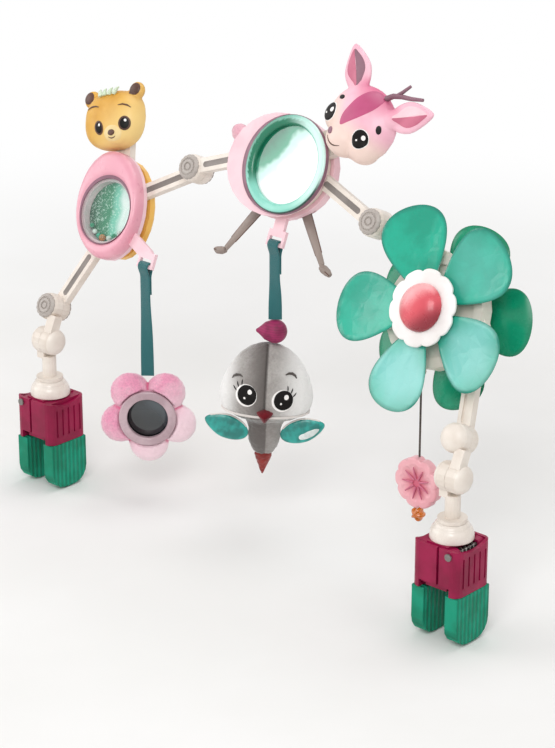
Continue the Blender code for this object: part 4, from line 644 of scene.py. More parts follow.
def settle(made):
    """Applies the piece's modifiers to its mesh."""
    bpy.context.view_layer.update()
    evaluated = made.evaluated_get(bpy.context.evaluated_depsgraph_get())
    mesh = bpy.data.meshes.new_from_object(evaluated)
    made.modifiers.clear()
    old = made.data
    made.data = mesh
    bpy.data.meshes.remove(old)
    return made


def melted(made, voxel, passes):
    """Runs overlapping shapes together into one skin and eases the joins."""
    skin = made.modifiers.new("skin", "REMESH")
    skin.mode = "VOXEL"
    skin.voxel_size = voxel * MM
    smoother = made.modifiers.new("ease", "SMOOTH")
    smoother.iterations = passes
    smoother.factor = 0.5
    settle(made)
    made.data.shade_smooth()
    return made


SKINS = {}


def skin_hit(made, start, way):
    """Where a ray from a point in millimetres first meets a piece, and the way out of it there."""
    if made.name not in SKINS:
        mesh = made.data
        SKINS[made.name] = BVHTree.FromPolygons(
            [v.co / MM for v in mesh.vertices], [f.vertices for f in mesh.polygons]
        )
    place, normal, _, _ = SKINS[made.name].ray_cast(Vector(start), Vector(way))
    if place is None:
        raise ValueError(f"{made.name} has no skin under {start}")
    return place, normal


def on_surface(made, x, y):
    """The front of a piece above (x, y) of its own frame."""
    return skin_hit(made, (x, y, 200), (0, 0, -1))


def front_of(made, x, z):
    """The -Y side of a piece at (x, z) of its own frame."""
    return skin_hit(made, (x, -200, z), (0, 1, 0))


PATCH_ROWS = (
    (1.0, 0.0), (1.0, 0.4), (0.96, 0.8), (0.86, 1.0), (0.7, 1.0), (0.54, 1.0), (0.38, 1.0), (0.2, 1.0),
    (0.02, 1.0),
)


def patch(made, outline, lift, height, rise=0.35, find=on_surface):
    """A raised print or inlay that follows a piece's skin: rings from its outline to its middle."""
    steps = len(outline)
    middle = Vector((sum(p[0] for p in outline) / steps, sum(p[1] for p in outline) / steps))
    rings = []
    for share, level in PATCH_ROWS:
        row = []
        for x, y in outline:
            spot = middle + (Vector((x, y)) - middle) * share
            place, normal = find(made, spot.x, spot.y)
            row.append(place + normal * (lift + rise * level if level > 0 else -height))
        rings.append(row)
    return loft(rings)


def oval_outline(x, y, rx, ry, tilt=0.0, steps=28):
    """A tilted oval's points round (x, y)."""
    angle = math.radians(tilt)
    made = []
    for i in range(steps):
        u, v = rx * math.cos(math.tau * i / steps), ry * math.sin(math.tau * i / steps)
        made.append(
            (x + u * math.cos(angle) - v * math.sin(angle), y + u * math.sin(angle) + v * math.cos(angle))
        )
    return made


def flow_point(a, b, c, d, t):
    """The point at t between b and c on the smooth curve that passes through four points."""
    return 0.5 * (
        2 * b + (c - a) * t + (2 * a - 5 * b + 4 * c - d) * t * t + (3 * b - a - 3 * c + d) * t ** 3
    )


def flowing(points, per_side=5):
    """A closed outline that flows through its points."""
    count = len(points)
    made = []
    for i in range(count):
        near = [Vector(points[(i + k) % count]) for k in (-1, 0, 1, 2)]
        made += [tuple(flow_point(*near, j / per_side)) for j in range(per_side)]
    return made


def toy_eye(name, body, head, place, x, y, size, ring):
    """A printed eye: a pale oval, a dark pupil that fills the share ring of it, and two highlights."""
    white = patch(head, oval_outline(x, y, size, size * 1.12, 0, 36), 0.08, 0.3, 0.2)
    piece(f"{name}_white", body, white, BRIGHT, place)
    pupil = patch(head, oval_outline(x, y, size * ring, size * (ring + 0.12), 0, 36), 0.36, 0.1, 0.3)
    piece(f"{name}_pupil", body, pupil, BLACK, place)
    lights = [
        patch(
            head, oval_outline(x + size * 0.28, y + size * 0.36, size * 0.24, size * 0.28, 0, 16), 0.72, 0.1,
            0.12,
        ),
        patch(
            head, oval_outline(x - size * 0.25, y - size * 0.32, size * 0.12, size * 0.12, 0, 12), 0.72, 0.1,
            0.12,
        ),
    ]
    piece(f"{name}_highlights", body, together(*lights), BRIGHT, place)


def printed_line(made, points, radius, lift, find=on_surface):
    """A thin raised line along points on a piece's skin, tapered at its ends."""
    path = []
    for x, y in points:
        place, normal = find(made, x, y)
        path.append(place + normal * lift)
    ends = len(path) - 1
    return rod(path, [radius * (0.35 + 0.65 * math.sin(math.pi * i / ends)) for i in range(ends + 1)], 8)


# Pendant under the spinner
CORD_TOP = -3.8
CORD_LENGTH = 60.0
CORD_DIAMETER = 1.5
CORD_SPANS = 24
DISC_DROP = 83.1
BEAD_DROP = 107.4
DISC_LOBES = 9
BEAD_RADIUS = 5


def make_pendant():
    body = "pendant"
    curve = bpy.data.curves.new("pendant_string", "CURVE")
    curve.dimensions = "3D"
    curve.bevel_depth = CORD_DIAMETER / 2 * MM
    curve.bevel_resolution = 3
    curve.use_fill_caps = True
    line = curve.splines.new("POLY")
    line.points.add(CORD_SPANS)
    for i, point in enumerate(line.points):
        point.co = (0, 0, (CORD_TOP - CORD_LENGTH * i / CORD_SPANS) * MM, 1)
    curve.materials.append(CORD)
    string = bpy.data.objects.new("pendant_string", curve)
    bpy.context.scene.collection.objects.link(string)
    string.matrix_world = PENDANT
    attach(string, body)
    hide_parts("pendant_cord")
    facing = PENDANT @ shift(0, 0, -DISC_DROP) @ turn(90, "X")
    profile = [(0, -2.6), (9, -2.6), (12.5, -3.2), (14.5, -4.0)]
    profile += arc((17.4, -2.4), (1.6, 1.6), 0.3 - QUARTER, 0, 5)
    profile += [(r, -z) for r, z in reversed(profile)]
    disc = piece(
        "pendant_rosette", body, lathe(profile, 108, lobes=DISC_LOBES, notch=1.8, rows=5), PENDANT_PINK,
        facing, ["pendant_disc"],
    )
    tint_mask(disc, "tint_and_highlight", lambda x, y, z: 1.15 - math.hypot(x, y) / 12)
    veins = [
        rod(
            [(a * math.cos(t), a * math.sin(t), 2.9 + 0.13 * (a - 3)) for a in (3, 6, 9, 12)],
            (0.9, 0.8, 0.6, 0.4), 8,
        )
        for t in [math.tau * (i + 0.5) / DISC_LOBES for i in range(DISC_LOBES)]
    ]
    piece("pendant_veins", body, together(*veins), EAR_ROSE, facing)
    # The bead is a ball drawn out into five soft points
    star = egg((BEAD_RADIUS, BEAD_RADIUS, BEAD_RADIUS), segments=40, rows=24)
    for vert in star.verts:
        around = math.atan2(vert.co.z, vert.co.x)
        vert.co *= 1 + 0.16 * math.cos(5 * around) * math.hypot(vert.co.x, vert.co.z) / BEAD_RADIUS - 0.05
    low = PENDANT @ shift(0, 0, -BEAD_DROP)
    bead = piece("pendant_drop", body, star, AMBER, low, ["pendant_bead"])


make_pendant()


# Flower spinner
PETAL_CELLS = 18


def petal(reach, width, pale):
    """A cupped leaf along X with a rolled rim, and two masks for each point: painted shade near the rim, and
    a painted highlight as pale as it is.
    """
    root, thick, dish, swell, slant = 9.0, 1.5, 4.0, 0.35, 7
    half = (reach - root) / 2
    made = bmesh.new()
    mask = made.verts.layers.float.new("rim")
    light = made.verts.layers.float.new("pale")
    sides = []
    for face in (1, -1):
        grid = []
        for i in range(PETAL_CELLS + 1):
            row = []
            for j in range(PETAL_CELLS + 1):
                x, y = -1 + 2 * i / PETAL_CELLS, -1 + 2 * j / PETAL_CELLS
                along, aside = x * math.sqrt(1 - y * y / 2), y * math.sqrt(1 - x * x / 2)
                side = width / 2 * aside * (0.882 + 0.54 * along)
                out = min(1.0, along * along + aside * aside)
                cup = dish * out * (1 + along) / 2
                near = ease((math.sqrt(out) - 0.91) / 0.08)
                wall = (thick / 2 + swell * near) * math.sqrt(max(0.0, 1 - out ** 8)) * face
                rib = swell * math.exp(-((side / 1.6) ** 2)) * (1 - out) if face > 0 else 0.0
                twist = side * math.tan(math.radians(slant))
                vert = made.verts.new((root + half * (1 + along), side, cup + twist + wall + rib))
                vert[mask] = near
                vert[light] = pale * ease(1.3 - abs(along - 0.15) - 0.5 * abs(aside))
                row.append(vert)
            grid.append(row)
        for i in range(PETAL_CELLS):
            for j in range(PETAL_CELLS):
                corners = (grid[i][j], grid[i + 1][j], grid[i + 1][j + 1], grid[i][j + 1])
                made.faces.new(corners if face > 0 else tuple(reversed(corners)))
        sides.append(grid)
    bmesh.ops.remove_doubles(made, verts=made.verts, dist=0.02)
    bmesh.ops.recalc_face_normals(made, faces=made.faces)
    return made


def copy_turned(shape, angle, level):
    """A copy of a shape turned about Z and lifted."""
    made = shape.copy()
    bmesh.ops.transform(made, matrix=Matrix.Translation((0, 0, level)) @ turn(angle), verts=made.verts)
    return made


def merged(shapes):
    """Shapes in one mesh that keep their masks."""
    made = bmesh.new()
    layers = ("rim", "pale")
    for layer in layers:
        made.verts.layers.float.new(layer)
    for shape in shapes:
        for layer in layers:
            if not shape.verts.layers.float.get(layer):
                shape.verts.layers.float.new(layer)
        mesh = bpy.data.meshes.new("part")
        shape.to_mesh(mesh)
        shape.free()
        made.from_mesh(mesh)
        bpy.data.meshes.remove(mesh)
    return made


PETAL_STEP = 72
PETAL_LEVEL = 7.2


def petal_wheel(name, body, place, reach, width, phase, material, node, pales=(0, 0, 0, 0, 0)):
    """Five petals round a hub with a groove, the first petal at the phase's angle."""
    shapes = []
    for i, pale in enumerate(pales):
        leaf = petal(reach, width, pale)
        shapes.append(copy_turned(leaf, phase + PETAL_STEP * i, PETAL_LEVEL))
        leaf.free()
    hub = lathe([
        (2.9, 11.4), (7.6, 11.4), (8, 11.0), (8, 8.8), (11.6, 8.6), (12, 8.2), (12, 6.2), (11.6, 5.8),
        (8, 5.6), (8, 0.4), (7.6, 0), (2.9, 0),
    ], closed=True)
    return piece(name, body, merged([*shapes, hub]), material, place, [node])


def make_spinner():
    petal_wheel(
        "front_petals", "front_wheel", SPINNER @ shift(0, 0, 2.8), 74, 50, 119, TEAL, "front_petal_wheel",
        # How strong the painted highlight is on each front petal
        (0.0, 0.15, 0.9, 0.75, 0.3),
    )
    petal_wheel(
        "rear_petals", "rear_wheel", SPINNER @ shift(0, 0, -9.7) @ turn(180, "X"), 66, 46, -8, GREEN,
        "rear_petal_wheel",
    )
    collar = [(4.4, 14.5), (24, 14.5), *arc((26.6, 15.75), (0.9, 1.25), 0.2 - QUARTER, QUARTER - 0.2, 9)]
    collar += [(24, 17.0), (20, 16.8), (18.2, 17.0), (4.4, 17.0)]
    piece(
        "scalloped_collar", "front_wheel", lathe(collar, 120, closed=True, lobes=10, notch=2.0), WHITE,
        SPINNER, ["flower_collar"],
    )
    dome = [(0, 17.3), (15, 17.3), (16.6, 17.4), (17, 18.0), *arc((0, 17.6), (17, 9.4), 0.08, QUARTER, 14)]
    middle = piece(
        "flower_middle", "front_wheel", lathe(dome), CORAL, SPINNER, ["flower_dome"]
    )
    # Painted highlight on the dome's upper left, and painted shade on its lower right
    tint_mask(middle, "tint_and_highlight", lambda x, y, z: (y - 0.9 * x) / 16 if z > 18 else 0)
    tint_mask(middle, "shade_and_dark_tone", lambda x, y, z: (0.9 * x - y - 4) / 16)


make_spinner()


# Caps over the knuckles, and strips of painted shade in the arms
CREAM_CAP = [(0, 12.9), (2.5, 12.8), (5, 12.3), (7, 11.4), (8.6, 10.2), (9.6, 8.9), (9.9, 8.0), (9.3, 7.6)]
GREY_CAP = [
    (0, 11.0), (2.2, 10.9), (2.6, 10.3), (3.2, 10.3), (3.6, 11.1), (5.6, 11.0), (6.0, 10.2), (6.6, 10.2),
    (7.0, 10.9), (8.8, 10.4), (9.4, 9.8), (9.6, 9.0), (9.3, 8.4),
]
GREY_LOBES = 15
CAP_WALL = 0.8


def knuckle_cap(name, body, place, side, profile, finish, lobes=0):
    """A moulded cap over a knuckle's face, hollow over the pin's head."""
    inside = [(max(r - CAP_WALL, 0), z - CAP_WALL) for r, z in reversed(profile)]
    shape = lathe(profile + inside, 60, lobes=lobes, notch=0.5)
    return piece(name, body, shape, finish, place if side > 0 else place @ turn(180, "X"))


def make_knuckles():
    across = turn(90, "Y")
    for side, x in CLAMPS:
        tilt = ARCH @ shift(x, 0) @ across
        knuckle_cap(f"{side}_tilt_cap_outer", f"{side}_link", tilt, 1, CREAM_CAP, CREAM)
        knuckle_cap(f"{side}_tilt_cap_inner", f"{side}_post", tilt, -1, CREAM_CAP, CREAM)
    for name, body, pin, side, grey in (
        ("right_arm_cap_front", "right_link", RIGHT_ARM_PIN, 1, False),
        ("right_arm_cap_back", "flower_arm", RIGHT_ARM_PIN, -1, False),
        ("flower_cap_back", "flower_arm", FLOWER_DEER_PIN, -1, True),
        ("flower_cap_front", "deer_arm", FLOWER_DEER_PIN, 1, True),
        ("deer_cap_front", "deer_arm", DEER_BEAR_PIN, 1, True),
        ("deer_cap_back", "bear_arm", DEER_BEAR_PIN, -1, True),
        ("left_arm_cap_front", "left_link", LEFT_ARM_PIN, 1, True),
        ("left_arm_cap_back", "bear_arm", LEFT_ARM_PIN, -1, True),
    ):
        profile, finish = (GREY_CAP, KNUCKLE_GREY) if grey else (CREAM_CAP, CREAM)
        knuckle_cap(name, body, ARCH @ shift(*pin), side, profile, finish, GREY_LOBES if grey else 0)


# Strips in the arms: where each starts and ends, and how far it stops short of its end
STRIPS = (
    ("deer_right_strip", "deer_arm", FLOWER_DEER_PIN, (-181.5, 175), 14),
    ("deer_left_strip", "deer_arm", DEER_BEAR_PIN, (-250.5, 175), 13),
    ("bear_right_strip", "bear_arm", DEER_BEAR_PIN, (-357.5, 125.2), 16),
    ("bear_left_strip", "bear_arm", LEFT_ARM_PIN, (-374.75, 91.2), 22),
)
STRIP_START = 15
# Levels of each arm's front and back faces
ARM_FACES = {"deer_arm": (7.85, 1.65), "bear_arm": (-1.65, -7.85)}


def arm_strip(name, body, start, end, short, level, side):
    """A strip of painted shade let into an arm's face between two places."""
    start, end = Vector(start), Vector(end)
    run = (end - start).normalized()
    first, last = start + run * STRIP_START, end - run * short
    aside = Vector((-run.y, run.x))
    rings = []
    for width, height in ((2.3, -0.3), (2.3, 0.12), (1.7, 0.16), (1.5, 0.05), (0.02, 0.05)):
        row = []
        for i in range(16):
            angle = math.tau * i / 16
            centre = last if math.cos(angle) > 0 else first
            spot = centre + run * width * math.cos(angle) + aside * width * math.sin(angle)
            row.append((spot.x, spot.y, level + height * side))
        rings.append(row)
    return piece(name, body, loft(rings), GROOVE_GREY, ARCH)


def make_arms():
    for name, body, start, end, short in STRIPS:
        front, back = ARM_FACES[body]
        arm_strip(name, body, start, end, short, front, 1)
        arm_strip(f"{name}_back", body, start, end, short, back, -1)


def make_clamps():
    """The gloss skin of the dome on each clamp."""
    dome = [
        (5.3, 45.1), (9.4, 45.1), (10.8, 44.7), (11.9, 43.7), (12.4, 42.6), (12.5, 41.9), (13.3, 41.4),
        (14.2, 40.2), (14.9, 38.4), (15.4, 36.2), (15.6, 34.0), (15.5, 33.15), (13.6, 33.15), (13.6, 36),
        (12.0, 40), (10.3, 43), (5.3, 43.0),
    ]
    for side, x in CLAMPS:
        piece(f"{side}_clamp_dome", f"{side}_clamp", lathe(dome, 72, closed=True), DOME_CREAM, shift(x, 0))


make_knuckles()
make_arms()
make_clamps()


# Deer: mirror, bezel, head, legs and tail
def shadow_line(name, body, place, reach, thin, swell, way, power, section):
    """A dark ring of painted shadow beside a rim, thin all round and swelling towards one angle."""
    rings = []
    for share, level in section:
        row = []
        for i in range(96):
            angle = math.tau * i / 96
            out = reach + share * (thin + swell * max(0.0, math.cos(angle - math.radians(way))) ** power)
            row.append((out * math.cos(angle), out * math.sin(angle), level))
        rings.append(row)
    piece(name, body, loft(rings, closed=True), SHADE_MAUVE, place)


LEG_LEVEL = -6
LEG_FLATNESS = 0.42
SEAM_LINE = ((4.0, -5), (3.7, -16), (2.8, -37))


def deer_leg(side, x, y, splay):
    """A flat tapering leg with a cloven foot, on a trunnion in the body's slot."""
    body = f"deer_{side}_leg"
    place = ARCH @ shift(x, y) @ turn(splay)
    shank = rod(
        [(0, y, LEG_LEVEL) for y in (1.5, -4, -14, -27, -40, -46)], (3.4, 4.2, 3.9, 3.3, 2.7, 2.3), 24
    )
    for vert in shank.verts:
        vert.co.z = LEG_LEVEL + (vert.co.z - LEG_LEVEL) * LEG_FLATNESS
    if side == "left":
        heel_to_toe = ((0.8, -47.2), (-1.4, -49.6), (-4.6, -52.4), (-7.0, -53.4))
        thickness = (2.2, 3.0, 2.8, 1.7)
        cleft = rod([(-7.2, -53.5, -4.6), (-5.8, -52.9, -3.4), (-4.0, -51.9, -3.0)], 0.35, 8)
    else:
        heel_to_toe = ((-1.0, -47.0), (0.4, -49.5), (2.6, -53.5), (3.9, -56.4))
        thickness = (2.4, 3.2, 2.9, 1.8)
        cleft = rod([(4.0, -56.8, -4.6), (3.4, -55.0, -3.4), (2.4, -53.0, -3.0)], 0.35, 8)
    foot = rod([(x, y, LEG_LEVEL) for x, y in heel_to_toe], thickness, 20)
    trunnion = rod([(0, 0, -9.2), (0, 0, -2.8)], 2.0, 20)
    piece(f"{body}_limb", body, together(shank, foot, trunnion), TAUPE, place, [body])
    piece(f"{body}_cleft", body, cleft, BROWN, place)
    seams = [rod([(way * x, y, LEG_LEVEL) for x, y in SEAM_LINE], 0.42, 8) for way in (-1, 1)]
    piece(f"{body}_seam", body, together(*seams), BROWN, place)


EAR_LEAN = 50


def leaf_ear(angle, width, length, reach, level):
    """A pointed, slightly cupped ear that leans out from the crown."""
    leaf = egg((width, length, 4.2), (0, reach, level), 0, 40, 28)
    for vert in leaf.verts:
        along = (vert.co.y - reach) / length
        vert.co.x *= 1 - 0.42 * max(0.0, along) ** 1.4
        vert.co.y += 2.4 * max(0.0, along) ** 3
        if vert.co.z > level:
            vert.co.z -= 1.8 * max(0.0, 1 - (vert.co.x / width) ** 2 - along ** 2)
    bmesh.ops.transform(leaf, matrix=turn(angle), verts=leaf.verts)
    return leaf


def half_leaf(angle, side, width, length, reach):
    """The outline of one half of an ear's hollow."""
    line = [(0, -0.9 * length), (side * width * 0.55, -0.6 * length), (side * width, -0.15 * length),
            (side * width * 0.9, 0.3 * length), (side * width * 0.45, 0.75 * length), (0, length),
            (side * 0.3, 0.3 * length)]
    turned = Matrix.Rotation(math.radians(angle), 2)
    return flowing([tuple(turned @ Vector((x, y + reach))) for x, y in line], 4)


def make_deer():
    body = "deer_arm"
    bezel = [(29, 12.4), (36.1, 12.4), (36.5, 12.8), (36.5, 14.6)]
    bezel += arc((34.1, 14.4), (2.4, 2.2), 0.2, QUARTER, 7)
    bezel += [(33.2, 16.65), (32.2, 16.4)]
    bezel += arc((31.6, 14.0), (2.6, 2.2), QUARTER + 0.1, math.pi, 7)
    ring_piece = piece(
        "mirror_bezel", body, lathe(bezel, 120, closed=True), MINT, DEER_FACE, ["deer_bezel"]
    )

    def towards(degrees, x, y):
        """How far a point lies towards an angle, from -1 to 1."""
        return math.cos(math.atan2(y, x) - math.radians(degrees))

    # Painted shade inside the bezel's upper left, a painted highlight on its right, and painted shade along
    # its lower outer edge
    tint_mask(
        ring_piece, "shade_and_dark_tone",
        lambda x, y, z: (towards(142, x, y) - 0.1) * 2.2 * (1.0 if math.hypot(x, y) < 33.2 else 0.35),
    )
    tint_mask(ring_piece, "tint_and_highlight", lambda x, y, z: towards(20, x, y) * 1.1 if math.hypot(x, y) > 30.5 else 0)
    tint_mask(
        ring_piece, "rim",
        lambda x, y, z: (towards(-80, x, y) - 0.15) * 2.2 if math.hypot(x, y) > 35.6 else 0,
    )
    glass = [
        (0, 10.1), (32.4, 10.1), (32.7, 10.3), (32.7, 11.7), (32.4, 12.1), (29.6, 12.15), (26, 12.1),
        (0, 12.1),
    ]
    piece("mirror_glass", body, lathe(glass, 96), MIRROR, DEER_FACE, ["deer_mirror"])
    shadow_line(
        "mirror_shadow_line", body, DEER_FACE, 36.45, 0.35, 4.3, 186, 1.5,
        ((0, 12.2), (1, 12.2), (1, 13.8), (0.7, 15.0), (0, 15.2)),
    )
    ears = [leaf_ear(-side * EAR_LEAN, 11.6, 18.0, 40, 5.2) for side in (-1, 1)]
    for side in (-1, 1):
        root = turn(-side * EAR_LEAN) @ Vector((0, 24, 5))
        ears.append(egg((7.5, 9, 5), root, -side * EAR_LEAN))
    twig = rod(
        [(4, 24, 4.7), (8, 29, 4.9), (14, 32.5, 4.9), (22, 36, 4.8), (31, 41.0, 4.7)],
        (2.2, 2.0, 1.8, 1.6, 1.2), 12,
    )
    fork = rod([(10, 30, 4.9), (12.5, 35, 4.8), (15.5, 42.5, 4.7)], (1.6, 1.4, 1.1), 12)
    head = piece(
        "deer_face", body,
        together(
            egg((31, 26.5, 17.5), (-3, -1, 0)), egg((14.5, 12.5, 13.5), (-5, -17.5, 6)),
            egg((15.5, 13, 12), (10, -12, 3)), egg((13, 12, 10), (-20, -8, 4)), *ears
        ),
        DEER_PINK, DEER_HEAD, ["deer_head"],
    )
    cut_flat(head)
    melted(head, 0.7, 9)
    tint_mask(
        head, "tint_and_highlight", lambda x, y, z: (y - 6 - 0.3 * abs(x + 2)) / 18 * ease((38 - math.hypot(x, y)) / 12)
    )
    tint_mask(head, "pale", lambda x, y, z: (5 - y) / 18 + 0.5 * ease((-10 - x) / 12))
    piece("deer_twig", body, together(twig, fork), MAUVE, DEER_HEAD)
    # Ear hollows, blaze, muzzle and eyes are prints that follow the head
    # The mauve half of the left ear's hollow is painted shade, and the pale pink half of the right ear's is
    # a painted highlight
    for side, halves in ((-1, (EAR_ROSE, MAUVE)), (1, (SHELL_PINK, EAR_ROSE))):
        name = "left" if side < 0 else "right"
        for half, finish in zip((-1, 1), halves):
            outline = half_leaf(-side * EAR_LEAN, half, 7.6, 14.5, 41)
            part = "outer" if half == side else "inner"
            piece(
                f"deer_{name}_ear_{part}_print", body, patch(head, outline, 0.12, 0.3, 0.1), finish,
                DEER_HEAD,
            )
    blaze = flowing([
        (-7, 22.5), (-1, 24.5), (5.5, 22.5), (7, 15), (3.5, 6),
        (-2.5, -3), (-8, -9), (-11, -3), (-10.8, 6), (-10, 15),
    ])
    piece("deer_blaze", body, patch(head, blaze, 0.12, 0.3, 0.1), BLAZE, DEER_HEAD)
    for name, x, y in (("left", -25.0, -8.0), ("right", 12.5, -7.6)):
        toy_eye(f"deer_{name}_eye", body, head, DEER_HEAD, x, y, 6.5, 0.92)
    for name, x, y, lean in (("left", -23.5, 5.5, 20), ("right", 19.0, 5.5, -60)):
        piece(
            f"deer_{name}_brow", body, patch(head, oval_outline(x, y, 3.1, 1.7, lean, 20), 0.1, 0.2, 0.3),
            BLACK, DEER_HEAD
        )
    piece(
        "deer_nose", body, patch(head, oval_outline(-11.0, -16.5, 2.9, 2.0, -30, 24), 0.08, 0.3, 0.7), MAUVE,
        DEER_HEAD,
    )
    smile = [(x, -23.4 + 0.07 * (x + 4) ** 2) for x in np.linspace(-10.5, 2.5, 15)]
    piece("deer_mouth", body, printed_line(head, smile, 0.5, 0.1), BROWN, DEER_HEAD)
    tail = piece(
        "deer_tuft", body, egg((10.5, 7, 5), (-53, 16.5, -4.75), -18), TAIL_PINK, DEER, ["deer_tail"],
    )
    ruffle(tail, 0.5, 3.0)
    deer_leg("left", -230.996, 145.93, -31.8)
    deer_leg("right", -192.54, 149.35, 39.2)


def cut_flat(made):
    """Cuts off everything behind the flat back at level 0."""
    shape = bmesh.new()
    shape.from_mesh(made.data)
    bmesh.ops.bisect_plane(
        shape, geom=shape.verts[:] + shape.edges[:] + shape.faces[:], plane_co=(0, 0, 0),
        plane_no=(0, 0, -1), clear_outer=True
    )
    edges = [edge for edge in shape.edges if edge.is_boundary]
    bmesh.ops.holes_fill(shape, edges=edges)
    shape.to_mesh(made.data)
    shape.free()


def ruffle(made, height, size):
    """Moves a piece's points in and out in soft tufts."""
    ways = [vert.normal.copy() for vert in made.data.vertices]
    for vert, way in zip(made.data.vertices, ways):
        vert.co += way * (noise.noise(vert.co / (size * MM)) * height * MM)
    made.data.update()


make_deer()


# Bear: window, insert, beads and head
def boxy(shape, centre, radii, power):
    """Pushes an ellipsoid's points out towards a box's corners."""
    for vert in shape.verts:
        unit = [(vert.co[k] - centre[k]) / radii[k] for k in range(3)]
        size = sum(abs(u) ** power for u in unit) ** (1 / power)
        vert.co = Vector([centre[k] + radii[k] * unit[k] / max(size, 1e-6) for k in range(3)])
    return shape


SKULL = (27, 23, 16)
SKULL_MIDDLE = (0, 0, 4)
SHELL_RADII = (31.2, 42.2)
# The window's middle in the shell's frame, and the surround's inner radius round it
WINDOW_OFFSET = (1, -5)
SURROUND_INNER = 25.7


